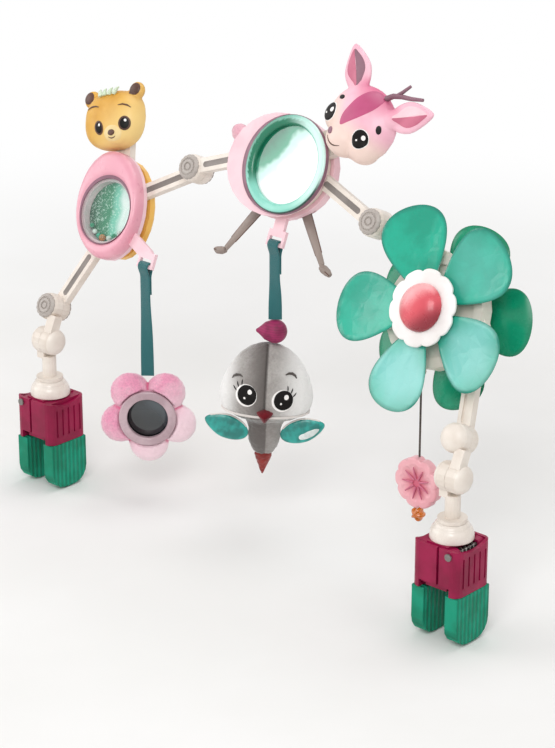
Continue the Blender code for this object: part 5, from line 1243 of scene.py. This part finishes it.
def make_bear():
    body = "bear_arm"
    dome = [
        (0, 15.3), (6, 15.2), (11, 14.7), (16, 13.7), (19.5, 12.5), (22, 11.3), (23.2, 10.9), (25.1, 10.8),
        (25.5, 10.4), (25.5, 9.6),
    ]
    dome += [(22.0, 9.6), (21.0, 10.4), (18.6, 11.4), (15.4, 12.5), (10.8, 13.5), (6, 14.0), (0, 14.1)]
    piece("rattle_window", body, lathe(dome, 96), CLEAR, BEAR_WINDOW, ["bear_window"])
    piece(
        "printed_insert", body, lathe([(0, 2.3), (23.2, 2.3), (23.2, 3.1), (0, 3.1)], 72), INSERT,
        BEAR_WINDOW, ["bear_insert"],
    )
    piece(
        "rattle_ball", body, egg((2.8, 2.8, 2.8), (0, -20.4, 6.2)), AMBER, BEAR_WINDOW, ["rattle_bead"],
    )
    spots = [
        (-10.5, -17.3, WHITE), (-5.4, -19.5, TEAL), (5.5, -19.4, WHITE), (10.6, -17.0, GREEN),
        (-14.8, -13.4, GREEN), (14.8, -13.4, WHITE),
    ]
    for i, (x, y, finish) in enumerate(spots):
        piece(f"rattle_grain_{i}", body, egg((2.0, 2.0, 2.0), (x, y, 5.2)), finish, BEAR_WINDOW)
    # The surround is a rounded ring between the shell's oval outline and the window's round one
    rings = []
    for share, level in (
        (1.0, 3.0), (1.0, 7.0), (0.99, 8.8), (0.93, 10.4), (0.80, 11.8), (0.60, 12.5), (0.38, 12.6),
        (0.18, 12.1), (0.05, 11.2), (0.0, 10.2), (0.0, 9.35), (0.5, 9.35),
    ):
        row = []
        for i in range(120):
            angle = math.tau * i / 120
            oval = Vector((SHELL_RADII[0] * math.cos(angle), SHELL_RADII[1] * math.sin(angle)))
            outer = Matrix.Rotation(math.radians(BEAR_LEAN), 2) @ oval
            facing = math.atan2(outer.y - WINDOW_OFFSET[1], outer.x - WINDOW_OFFSET[0])
            inner = Vector(WINDOW_OFFSET) + Vector((math.cos(facing), math.sin(facing))) * SURROUND_INNER
            spot = inner + (outer - inner) * share
            row.append((spot.x, spot.y, level))
        rings.append(row)
    piece("rattle_surround", body, loft(rings, closed=True), HOOP_PINK, BEAR_SHELL)
    shadow_line(
        "window_shadow_line", body, BEAR_WINDOW, 25.2, 0.7, 1.9, 105, 1,
        ((0, 10.6), (1, 10.6), (1, 11.9), (0, 11.5))
    )
    skull = boxy(egg(SKULL, SKULL_MIDDLE, 0, 48, 32), SKULL_MIDDLE, SKULL, 2.5)
    shapes = [skull, egg((11.5, 8.5, 8.5), (8.0, -13.0, 10.5))]
    for x, y in ((-25.5, 20.0), (20.0, 21.0)):
        shapes.append(egg((7.2, 7.2, 4.6), (x, y, 4)))
    head = piece("bear_face", body, together(*shapes), YELLOW, BEAR_HEAD, ["bear_head"])
    cut_flat(head)
    melted(head, 0.7, 8)
    # A painted highlight, paler towards the lower right of the head
    tint_mask(head, "pale", lambda x, y, z: 0.25 + (x - y) / 46)
    for name, x, y in (("left", -26.2, 20.8), ("right", 20.6, 21.8)):
        outline = oval_outline(x, y, 4.9, 4.9)
        piece(f"bear_{name}_ear_hollow", body, patch(head, outline, 0.05, 0.3, 0.3), BROWN, BEAR_HEAD)
    muzzle = flowing(
        [(0.5, -13), (4, -8.8), (8.5, -7.6), (13, -8.8), (16.5, -13), (14.5, -18), (8.5, -19.6), (2.5, -18)],
        5,
    )
    piece("bear_muzzle", body, patch(head, muzzle, 0.1, 0.3, 0.2), PALE, BEAR_HEAD)
    for name, x, y, lean in (("left", -4.2, -8.2, 12), ("right", 18.8, -6.8, -12)):
        almond = oval_outline(x, y, 4.3, 5.5, lean, 32)
        piece(f"bear_{name}_eye", body, patch(head, almond, 0.14, 0.3, 0.3), BROWN, BEAR_HEAD)
        piece(
            f"bear_{name}_pupil", body,
            patch(head, oval_outline(x + 0.2, y, 3.1, 4.2, lean, 24), 0.5, 0.1, 0.15), BLACK, BEAR_HEAD,
        )
        light = patch(head, oval_outline(x + 1.0, y + 2.0, 0.9, 1.1, 0, 14), 0.7, 0.1, 0.12)
        piece(f"bear_{name}_eye_light", body, light, BRIGHT, BEAR_HEAD)
    for name, points in (
        ("left", [(-19, 8.4), (-15.5, 9.3), (-12, 9.6), (-8.5, 9.3), (-5, 8.2)]),
        ("right", [(13.5, 7.6), (17, 8.2), (20.5, 7.2), (23, 5.4)]),
    ):
        piece(f"bear_{name}_brow", body, printed_line(head, points, 0.75, 0.15), BROWN, BEAR_HEAD)
    piece(
        "bear_nose", body, patch(head, oval_outline(8.4, -13.4, 3.0, 2.2, 0, 24), 0.35, 0.3, 0.9), BROWN,
        BEAR_HEAD,
    )
    mouth = [(8.4 + x, -17.4 + 0.11 * x * x) for x in np.linspace(-3.4, 3.4, 11)]
    piece("bear_mouth", body, printed_line(head, mouth, 0.45, 0.35), BROWN, BEAR_HEAD)
    tufts = []
    for x, lean in ((-6.5, 30), (-2.5, 12), (2, -6), (6.5, -24)):
        base, _ = on_surface(head, x, 17.6)
        tufts.append(rod([
            base + Vector(
                (math.sin(math.radians(-lean)) * 6 * share, 6.4 * share, 0.6 - 3.4 * share * share)
            )
            for share in np.linspace(0, 1, 6)
        ], [1.6, 1.9, 1.7, 1.4, 1.0, 0.5], 10))
    piece("bear_tuft", body, together(*tufts), TUFT_GREEN, BEAR_HEAD)


make_bear()


# Straps: the webbing goes up behind the tab's bar, over it and down to the toy
BAR_SIDE = 3
BAR_GAP = 0.35
TAPE_HALF_THICK = 0.55
# How far below the bar the two layers meet, and where the sewn end stops
TAPE_NECK = 9
TAPE_END = 22
TAPE_BACK = 1.0
TAPE_FRONT = 0.6


def strap(name, body, place, length, material, node):
    """Webbing 10 mm wide and 1.1 mm thick, woven on both sides, with rolled edges."""
    bar_ring = BAR_SIDE / math.sqrt(2) + BAR_GAP + TAPE_HALF_THICK
    sewn = TAPE_END - TAPE_NECK
    across = Vector((1, 0, 0))
    rows = [(Vector((0, TAPE_BACK, -TAPE_END + sewn * i / 8)), across) for i in range(9)]
    for i in range(1, 8):
        share = i / 8
        rows.append(
            (Vector((0, TAPE_BACK + (bar_ring - TAPE_BACK) * ease(share), -TAPE_NECK * (1 - share))), across)
        )
    for i in range(15):
        angle = math.pi * i / 14
        rows.append((Vector((0, bar_ring * math.cos(angle), bar_ring * math.sin(angle))), across))
    for i in range(1, 9):
        share = i / 8
        rows.append(
            (Vector((0, -bar_ring + (bar_ring - TAPE_FRONT) * ease(share), -TAPE_NECK * share)), across)
        )
    for i in range(1, 7):
        rows.append((Vector((0, -TAPE_FRONT, -TAPE_NECK - sewn * i / 6)), across))
    for i in range(1, 41):
        share = i / 40
        angle = math.radians(TOY_FACING) * ease(share)
        rows.append((
            Vector((0, -TAPE_FRONT * (1 - ease(2 * share)), -TAPE_END - (length - TAPE_END) * share)),
            Vector((math.cos(angle), math.sin(angle), 0)),
        ))
    section = []
    for k in range(5):
        angle = math.pi / 2 - math.pi * k / 4
        section.append((4.6 + 0.4 * math.cos(angle), 0.5 * math.sin(angle)))
    section += [(x, -TAPE_HALF_THICK) for x in (3, 1.5, 0, -1.5, -3)]
    section += [(-x, -y) for x, y in section[:5]]
    section += [(x, TAPE_HALF_THICK) for x in (-3, -1.5, 0, 1.5, 3)]
    made = bmesh.new()
    tape = made.loops.layers.uv.new("tape")
    grid, marks, travelled = [], [], 0.0
    for i, (spot, width) in enumerate(rows):
        ahead = (rows[min(i + 1, len(rows) - 1)][0] - rows[max(i - 1, 0)][0]).normalized()
        out = width.cross(ahead).normalized()
        if i:
            travelled += (spot - rows[i - 1][0]).length
        grid.append([made.verts.new(spot + width * u + out * v) for u, v in section])
        marks.append(travelled)
    count = len(section)
    for i in range(len(rows) - 1):
        for k in range(count):
            j = (k + 1) % count
            face = made.faces.new((grid[i][k], grid[i][j], grid[i + 1][j], grid[i + 1][k]))
            for loop, (row, spot) in zip(face.loops, ((i, k), (i, j), (i + 1, j), (i + 1, k))):
                loop[tape].uv = (section[spot][0], marks[row])
    made.faces.new(list(reversed(grid[0])))
    made.faces.new(grid[-1])
    bmesh.ops.recalc_face_normals(made, faces=made.faces)
    return piece(name, body, made, material, place, [node])


BIRD_HALF_WIDTH = 35.0
BIRD_TOP = -8.3
BIRD_HEIGHT = 92.2
BIRD_FLATNESS = 0.60
# The ball sits in a hollow of this radius
BALL_HOLLOW = 9.9
HEM_LEVEL = -61.2
HOOD_LEVEL = -64
WING_RADII = (17.3, 9.4, 2.9)
WING_TAPER = 0.34
LASH_START = 7.6
# Half the bird's outline, as shares of its half width and of its height
BIRD_PROFILE = (
    (0, 0), (0.30, -0.030), (0.60, -0.11), (0.84, -0.24), (0.97, -0.38), (1.00, -0.47), (0.93, -0.56),
    (0.70, -0.625), (0.44, -0.665), (0.36, -0.74), (0.34, -0.85), (0.21, -0.95), (0, -1),
)


def smooth_profile(points):
    """A profile drawn smoothly through its points, with six steps from each to the next."""
    ends = [points[0], *points, points[-1]]
    made = []
    for four in zip(ends, ends[1:], ends[2:], ends[3:]):
        made += [tuple(flow_point(*axis, i / 6) for axis in zip(*four)) for i in range(6)]
    return made + [points[-1]]


def stuffed(made, voxel, pressure, cap):
    """Blows a cloth cover up from the inside, so that it creases and fills as stuffing makes it.

    No point moves more than cap millimetres.
    """
    skin = made.modifiers.new("skin", "REMESH")
    skin.mode = "VOXEL"
    skin.voxel_size = voxel * MM
    settle(made)
    rest = np.array([v.co for v in made.data.vertices], float)
    cover = made.modifiers.new("cover", "CLOTH")
    cover.settings.quality = 6
    cover.settings.use_pressure = True
    cover.settings.uniform_pressure_force = pressure
    cover.settings.tension_stiffness = 20
    cover.settings.compression_stiffness = 20
    cover.settings.bending_stiffness = 0.3
    cover.settings.effector_weights.gravity = 0
    cover.collision_settings.use_collision = False
    scene = bpy.context.scene
    for step in range(1, 21):
        scene.frame_set(step)
    settle(made)
    scene.frame_set(1)
    moves = np.array([v.co for v in made.data.vertices], float) - rest
    far = np.linalg.norm(moves, axis=1)
    share = np.minimum(1.0, cap * MM / np.maximum(far, 1e-9))
    made.data.vertices.foreach_set("co", (rest + moves * share[:, None]).astype(np.float32).ravel())
    made.data.update()
    finer = made.modifiers.new("finer", "SUBSURF")
    finer.levels = finer.render_levels = 1
    ease_out = made.modifiers.new("ease", "SMOOTH")
    ease_out.iterations = 2
    settle(made)
    made.data.shade_smooth()
    return made


def mark_seam(made, distance, width):
    """Sinks a sewn seam where distance(x, y, z) in millimetres is near 0, and marks it so that the material
    paints shade along it.
    """
    mesh = made.data
    mask = mesh.attributes.new("seam", "FLOAT", "POINT")
    values = np.zeros(len(mesh.vertices), np.float32)
    ways = [vert.normal.copy() for vert in mesh.vertices]
    for i, (vert, way) in enumerate(zip(mesh.vertices, ways)):
        near = math.exp(-((distance(*(vert.co / MM)) / width) ** 2))
        values[i] = near
        vert.co -= way * (near * 0.9 * MM)
    mask.data.foreach_set("value", values)
    mesh.update()


def leaf_wing(side):
    """A quilted satin wing, pointed at its tip and lined with rows of stitching."""
    wing = egg(WING_RADII, segments=56, rows=28)
    length, width, _ = WING_RADII
    for vert in wing.verts:
        along = vert.co.x * side / length
        vert.co.y *= 1 - WING_TAPER * max(0.0, along) ** 1.5
        groove = math.sin(vert.co.x * 1.15) * 0.42 * (1 if vert.co.z > 0 else -1)
        vert.co.z += groove * max(0.0, 1 - (vert.co.x / length) ** 2 - (vert.co.y / width) ** 2)
    return wing


def make_bird():
    body = "bird_toy"
    strap("bird_tape", body, BIRD_STRAP, 57.7, TEAL_TAPE, "bird_strap")
    crest = [(-14.3, 0, 0), (-12.6, 0, 0), (-10.4, 0, 0), (-7.6, 0, 0), (-4, 0, 0)]
    ball = together(egg((9, 9, 9), segments=40, rows=24), rod(crest, (1.0, 2.0, 3.9, 6.6, 8.0), 24))
    knot = piece("bird_knot", body, ball, BALL_CLOTH, BIRD_BALL, ["bird_ball"])
    melted(knot, 0.6, 3)
    profile = [
        (BIRD_HALF_WIDTH * max(r, 0), BIRD_TOP + BIRD_HEIGHT * h)
        for r, h in smooth_profile(BIRD_PROFILE)
    ]
    shape = lathe(profile, 64)
    bmesh.ops.scale(shape, vec=(1, BIRD_FLATNESS, 1), verts=shape.verts)
    ball_centre = (BIRD.inverted() @ BIRD_BALL).translation / MM
    for vert in shape.verts:
        out = vert.co - ball_centre
        if out.length < BALL_HOLLOW:
            vert.co = ball_centre + out.normalized() * BALL_HOLLOW
    plump = piece("bird_plush", body, shape, GREY_PLUSH, BIRD, ["bird_body"])
    stuffed(plump, 1.9, 3.0, 1.0)
    # The seam mask paints shade along the sunken seam
    mark_seam(plump, lambda x, y, z: x + 0.5 if y < 4 and z > -62 else 9.0, 0.8)
    ruffle(plump, 0.4, 2.2)

    def shade_and_dark_tone(x, y, z):
        """Darker grey beside the seam on the left, fading towards the left edge, and painted shade under the
        hood.
        """
        if z < HOOD_LEVEL:
            return 1.0 if x < 1 else 0.35
        return 1 - (-0.5 - x) / 22 if x < -0.5 else 0.0

    def edge_highlight(x, y, z):
        """A painted highlight: pale at the right and along the left edge."""
        if z < HOOD_LEVEL:
            return 0.0
        return (x - 3) / 24 if x > -0.5 else (-x - 17) / 16

    tint_mask(plump, "shade_and_dark_tone", shade_and_dark_tone)
    tint_mask(plump, "edge_highlight", edge_highlight)
    piping = lathe(arc((32.4, HEM_LEVEL), (0.9, 0.9), 0, math.tau, 9)[:-1], 96, closed=True)
    bmesh.ops.scale(piping, vec=(1, BIRD_FLATNESS, 1), verts=piping.verts)
    piece("bird_hem", body, piping, BRIGHT_CLOTH, BIRD)
    for name, side in (("left", -1), ("right", 1)):
        place = BIRD @ shift(side * 28.5, -3, -76.3) @ turn(90, "X") @ turn(side * 20)
        wing_name = f"bird_{name}_flap"
        made = piece(
            wing_name, body, leaf_wing(side), TEAL_SATIN, place, [f"bird_{name}_wing"]
        )
        edge = []
        for t in np.linspace(0.10, 0.92, 15):
            share = 2 * t - 1
            half_width = 9.3 * math.sqrt(max(0.0, 1 - share ** 2)) * (
                1 - WING_TAPER * max(0.0, share) ** 1.5
            )
            edge.append((side * share * 17.1, half_width, 0.2))
        piece(f"bird_{name}_piping", body, rod(edge, [0.7] * len(edge), 10), BRIGHT_CLOTH, place)
        if side > 0:
            # A painted highlight on the right wing's satin, a white streak raised on its skin
            inlay = flowing(
                [(-3, -5.8), (3, -6.2), (9, -4.6), (12.5, -1.6), (8, -0.4), (1, -1.4), (-3.5, -2.6)], 4
            )
            piece("bird_right_wing_highlight", body, patch(made, inlay, 0.15, 0.3, 0.15), WING_HIGHLIGHT, place)
    kite = flowing([
        (-6.6, 2.2), (-3.2, 4.6), (0, 5.4), (3.2, 4.6), (6.6, 2.2), (3.4, -2.6), (0, -6.3), (-3.4, -2.6),
    ])
    rings = []
    for y, share in (
        (-15.8, 1.0), (-18, 1.0), (-20.5, 0.92), (-23, 0.76), (-25, 0.52), (-26.3, 0.24), (-26.7, 0.05)
    ):
        rings.append([(x * share, y, -59.4 + z * share) for x, z in kite])
    nose = loft(rings)
    piece("bird_nose", body, nose, RED_FELT, BIRD, ["bird_beak"])
    tuft = rod([(0, 0, z) for z in (-95, -98, -103, -108.5, -114.4)], (5.8, 6.9, 5.2, 3.0, 0.8), 20)
    bmesh.ops.scale(tuft, vec=(1, BIRD_FLATNESS, 1), verts=tuft.verts)
    end = piece("bird_tuft", body, tuft, RUST, BIRD, ["bird_tail"])
    melted(end, 0.7, 2)
    ruffle(end, 0.4, 1.8)
    for name, x, z in (("left", -14.4, -44.8), ("right", 12.4, -47.2)):
        side = -1 if name == "left" else 1
        white = patch(plump, oval_outline(x, z, 7.9, 8.5, 0, 36), 0.08, 0.5, 0.25, front_of)
        piece(f"bird_{name}_eye_white", body, white, BRIGHT, BIRD)
        black = patch(plump, oval_outline(x + 0.7, z + 0.5, 6.9, 7.5, 0, 36), 0.5, 0.1, 0.3, front_of)
        piece(f"bird_{name}_eye_black", body, black, BLACK, BIRD)
        lights = [
            patch(plump, oval_outline(x + 2.6, z + 3.0, 1.7, 2.0, 0, 16), 0.9, 0.1, 0.1, front_of),
            patch(plump, oval_outline(x - 1.0, z - 1.8, 0.8, 0.8, 0, 12), 0.9, 0.1, 0.1, front_of),
        ]
        piece(f"bird_{name}_eye_lights", body, together(*lights), BRIGHT, BIRD)
        lashes = []
        for angle in (18, 40, 62):
            spots = []
            for reach in (LASH_START, 8.8, 10.0, 11.2):
                bend = math.radians(angle + (reach - LASH_START) * 3)
                spots.append((x + side * reach * math.cos(bend), z + reach * 1.06 * math.sin(bend)))
            lashes.append(printed_line(plump, spots, 0.5, 0.15, front_of))
        piece(f"bird_{name}_lashes", body, together(*lashes), BLACK, BIRD)
    for name, points in (
        ("left", [(-25.4, -34.2), (-24.2, -32.4), (-22.2, -31.2), (-19.8, -30.8), (-17.6, -31.6)]),
        ("right", [(13.6, -28.2), (16.0, -27.2), (18.4, -27.6), (20.6, -29.2), (21.8, -31.2)]),
    ):
        piece(f"bird_{name}_brow", body, printed_line(plump, points, 1.2, 0.2, front_of), DARK_PLUSH, BIRD)


make_bird()


# Flower toy
TOY_PHASE = 126
TOY_PETAL_OUT = 23


def make_flower_toy():
    body = "flower_toy"
    strap("flower_tape", body, FLOWER_STRAP, 88.4, TEAL_TAPE, "flower_toy_strap")
    shapes = [egg((24.5, 24.5, 10.5))]
    for i in range(5):
        angle = TOY_PHASE + PETAL_STEP * i
        away = math.radians(angle)
        spot = (TOY_PETAL_OUT * math.cos(away), TOY_PETAL_OUT * math.sin(away), 0)
        shapes.append(egg((15.7, 15.7, 10.5), spot, angle))
    pad = piece(
        "flower_plush", body, together(*shapes), PINK_PLUSH, FLOWER, ["flower_toy_pad"]
    )
    stuffed(pad, 1.9, 3.0, 0.8)

    def seams(x, y, z):
        """How far from a line between two petals, or 9 in the middle and behind."""
        if math.hypot(x, y) < 22:
            return 9.0
        turned = (math.degrees(math.atan2(y, x)) - TOY_PHASE + PETAL_STEP / 2) % PETAL_STEP
        return math.radians(min(turned, PETAL_STEP - turned)) * math.hypot(x, y)

    # The seam mask paints shade along the sunken seams
    mark_seam(pad, seams, 0.9)
    ruffle(pad, 0.4, 2.4)
    # The front is pressed flat under the mirror, and less so under its ring
    mesh = pad.data
    for vert in mesh.vertices:
        x, y, z = vert.co / MM
        around = math.hypot(x, y)
        if z > 0 and around < 17.3:
            vert.co.z = min(z, 3.8) * MM
        elif z > 0 and around < 23.2:
            vert.co.z = min(z, 6.1) * MM
    mesh.update()
    # A painted highlight, paler towards one side of the flower
    tint_mask(pad, "pale", lambda x, y, z: 0.35 + (x - y) / 50)
    low, high, edge, inner, outer = 6.5, 10.1, 1.2, 15.7, 22.2
    profile = [(inner, low), (outer - 0.4, low), (outer, low + 0.4), (outer, high - edge)]
    profile += arc((outer - edge, high - edge), (edge, edge), 0.2, QUARTER, 5)
    profile += [(18.9, high - 0.1)]
    profile += arc((inner + edge, high - edge), (edge, edge), QUARTER, math.pi, 5)
    piece(
        "toy_ring", body, lathe(profile, 84, closed=True), RING, FLOWER, ["flower_toy_ring"]
    )
    glass = [(0, 4.1), (16.8, 4.1), (17, 4.3), (17, 5.7), (16.8, 5.9), (0, 5.9)]
    piece("toy_mirror", body, lathe(glass, 72), DARK_MIRROR, FLOWER, ["flower_toy_mirror"])


make_flower_toy()


# Finishes and softened edges of the rigid nodes that stay
FINISHES = {
    "housing": HOUSING, "inner_jaw": FUCHSIA, "outer_jaw": FUCHSIA, "inner_pad": RUBBER, "outer_pad": RUBBER,
    "hinge_pin": STEEL, "spring": STEEL, "post": CREAM, "tilt_pin": STEEL, "arm_pin": STEEL, "link": CREAM,
}
NODE_FINISHES = {
    "flower_link": CREAM, "flower_deer_pin": STEEL, "deer_bear_pin": STEEL, "spinner_axle": STEEL,
    "deer_link": CREAM, "deer_back_shell": SHELL_PINK, "deer_front_shell": SHELL_PINK,
    "bear_link": CREAM, "bear_front_shell": SHELL_PINK, "bear_back_shell": ORANGE,
}
for side in ("right", "left"):
    for name, finish in FINISHES.items():
        NODE_FINISHES[f"{side}_{name}"] = finish


EDGE_WIDTH = 0.35


def dress(name, finish):
    """Gives a rigid node its finish and softens its moulded edges, but not a spring's."""
    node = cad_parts[name]
    for slot_of in node.material_slots:
        slot_of.material = finish
    if "spring" in name:
        return
    edge = node.modifiers.new("softened edges", "BEVEL")
    edge.width = EDGE_WIDTH * MM
    edge.segments = 2
    edge.limit_method = "ANGLE"
    edge.angle_limit = math.radians(40)
    edge.harden_normals = False


for node_name, node_finish in NODE_FINISHES.items():
    dress(node_name, node_finish)


# Floor, lamps and world, in metres and watts
FLOOR_PLACE = (-0.2, 0.02, -0.0412)
FLOOR_HALF = 9
# The floor turns to the white of the backdrop between these distances from its middle
FADE_START = 0.40
FADE_END = 1.15
# What the world gives the object, against 1 for the backdrop that the camera sees
WORLD_LIGHT = 0.48
LAMPS = (
    ("key", (0.9, -1.6, 1.6), 1.2, 26),
    ("fill", (-1.8, -1.0, 0.9), 1.4, 12),
    ("top", (-0.2, 0.6, 2.0), 1.4, 14),
)


def make_stage():
    scene = bpy.context.scene
    scene.view_settings.view_transform = "Standard"
    shape = bmesh.new()
    bmesh.ops.create_grid(shape, x_segments=24, y_segments=24, size=FLOOR_HALF)
    mesh = bpy.data.meshes.new("floor")
    shape.to_mesh(mesh)
    shape.free()
    made, tree, shader = blank("pale floor")
    where = add(tree, "ShaderNodeTexCoord").outputs["Object"]
    speckle = mottled(tree, where, 300, linear("#F2F1F0"), linear("#EDECEA"))
    join_shader(tree, shader, Base_Color=speckle, Roughness=0.8, Specular_IOR_Level=0.2)
    light_path = add(tree, "ShaderNodeLightPath").outputs
    seen = add(
        tree, "ShaderNodeMath", {0: light_path["Is Camera Ray"], 1: light_path["Is Glossy Ray"]},
        operation="MAXIMUM",
    )
    seen = add(
        tree, "ShaderNodeMath", {0: seen.outputs[0], 1: light_path["Is Transmission Ray"]},
        operation="MAXIMUM",
    )
    away = add(tree, "ShaderNodeVectorMath", {0: where}, operation="LENGTH").outputs["Value"]
    far = add(
        tree, "ShaderNodeMapRange", {0: away, 1: FADE_START, 2: FADE_END, 3: 0.0, 4: 1.0},
        interpolation_type="SMOOTHSTEP",
    )
    share = add(tree, "ShaderNodeMath", {0: seen.outputs[0], 1: far.outputs[0]}, operation="MULTIPLY")
    white = add(tree, "ShaderNodeEmission", {"Color": (1, 1, 1, 1), "Strength": 1.0})
    mixed = add(
        tree, "ShaderNodeMixShader", {0: share.outputs[0], 1: shader.outputs[0], 2: white.outputs[0]}
    )
    tree.links.new(mixed.outputs[0], tree.nodes["Material Output"].inputs["Surface"])
    mesh.materials.append(made)
    floor = bpy.data.objects.new("floor", mesh)
    floor.location = FLOOR_PLACE
    scene.collection.objects.link(floor)
    world = bpy.data.worlds.new("studio")
    scene.world = world
    world.use_nodes = True
    backdrop = world.node_tree.nodes["Background"]
    path = add(world.node_tree, "ShaderNodeLightPath").outputs
    sight = add(
        world.node_tree, "ShaderNodeMath", {0: path["Is Camera Ray"], 1: path["Is Transmission Ray"]},
        operation="MAXIMUM",
    )
    sight = add(
        world.node_tree, "ShaderNodeMath", {0: sight.outputs[0], 1: path["Is Glossy Ray"]},
        operation="MAXIMUM",
    )
    level = add(
        world.node_tree, "ShaderNodeMapRange", {0: sight.outputs[0], 1: 0.0, 2: 1.0, 3: WORLD_LIGHT, 4: 1.0}
    )
    world.node_tree.links.new(level.outputs[0], backdrop.inputs["Strength"])
    backdrop.inputs["Color"].default_value = (1, 1, 1, 1)
    for name, at, size, power in LAMPS:
        lamp = bpy.data.lights.new(name, "AREA")
        lamp.size = size
        lamp.energy = power
        made_lamp = bpy.data.objects.new(name, lamp)
        made_lamp.location = at
        made_lamp.rotation_euler = (AIM - Vector(at)).to_track_quat("-Z", "Y").to_euler()
        scene.collection.objects.link(made_lamp)


make_stage()
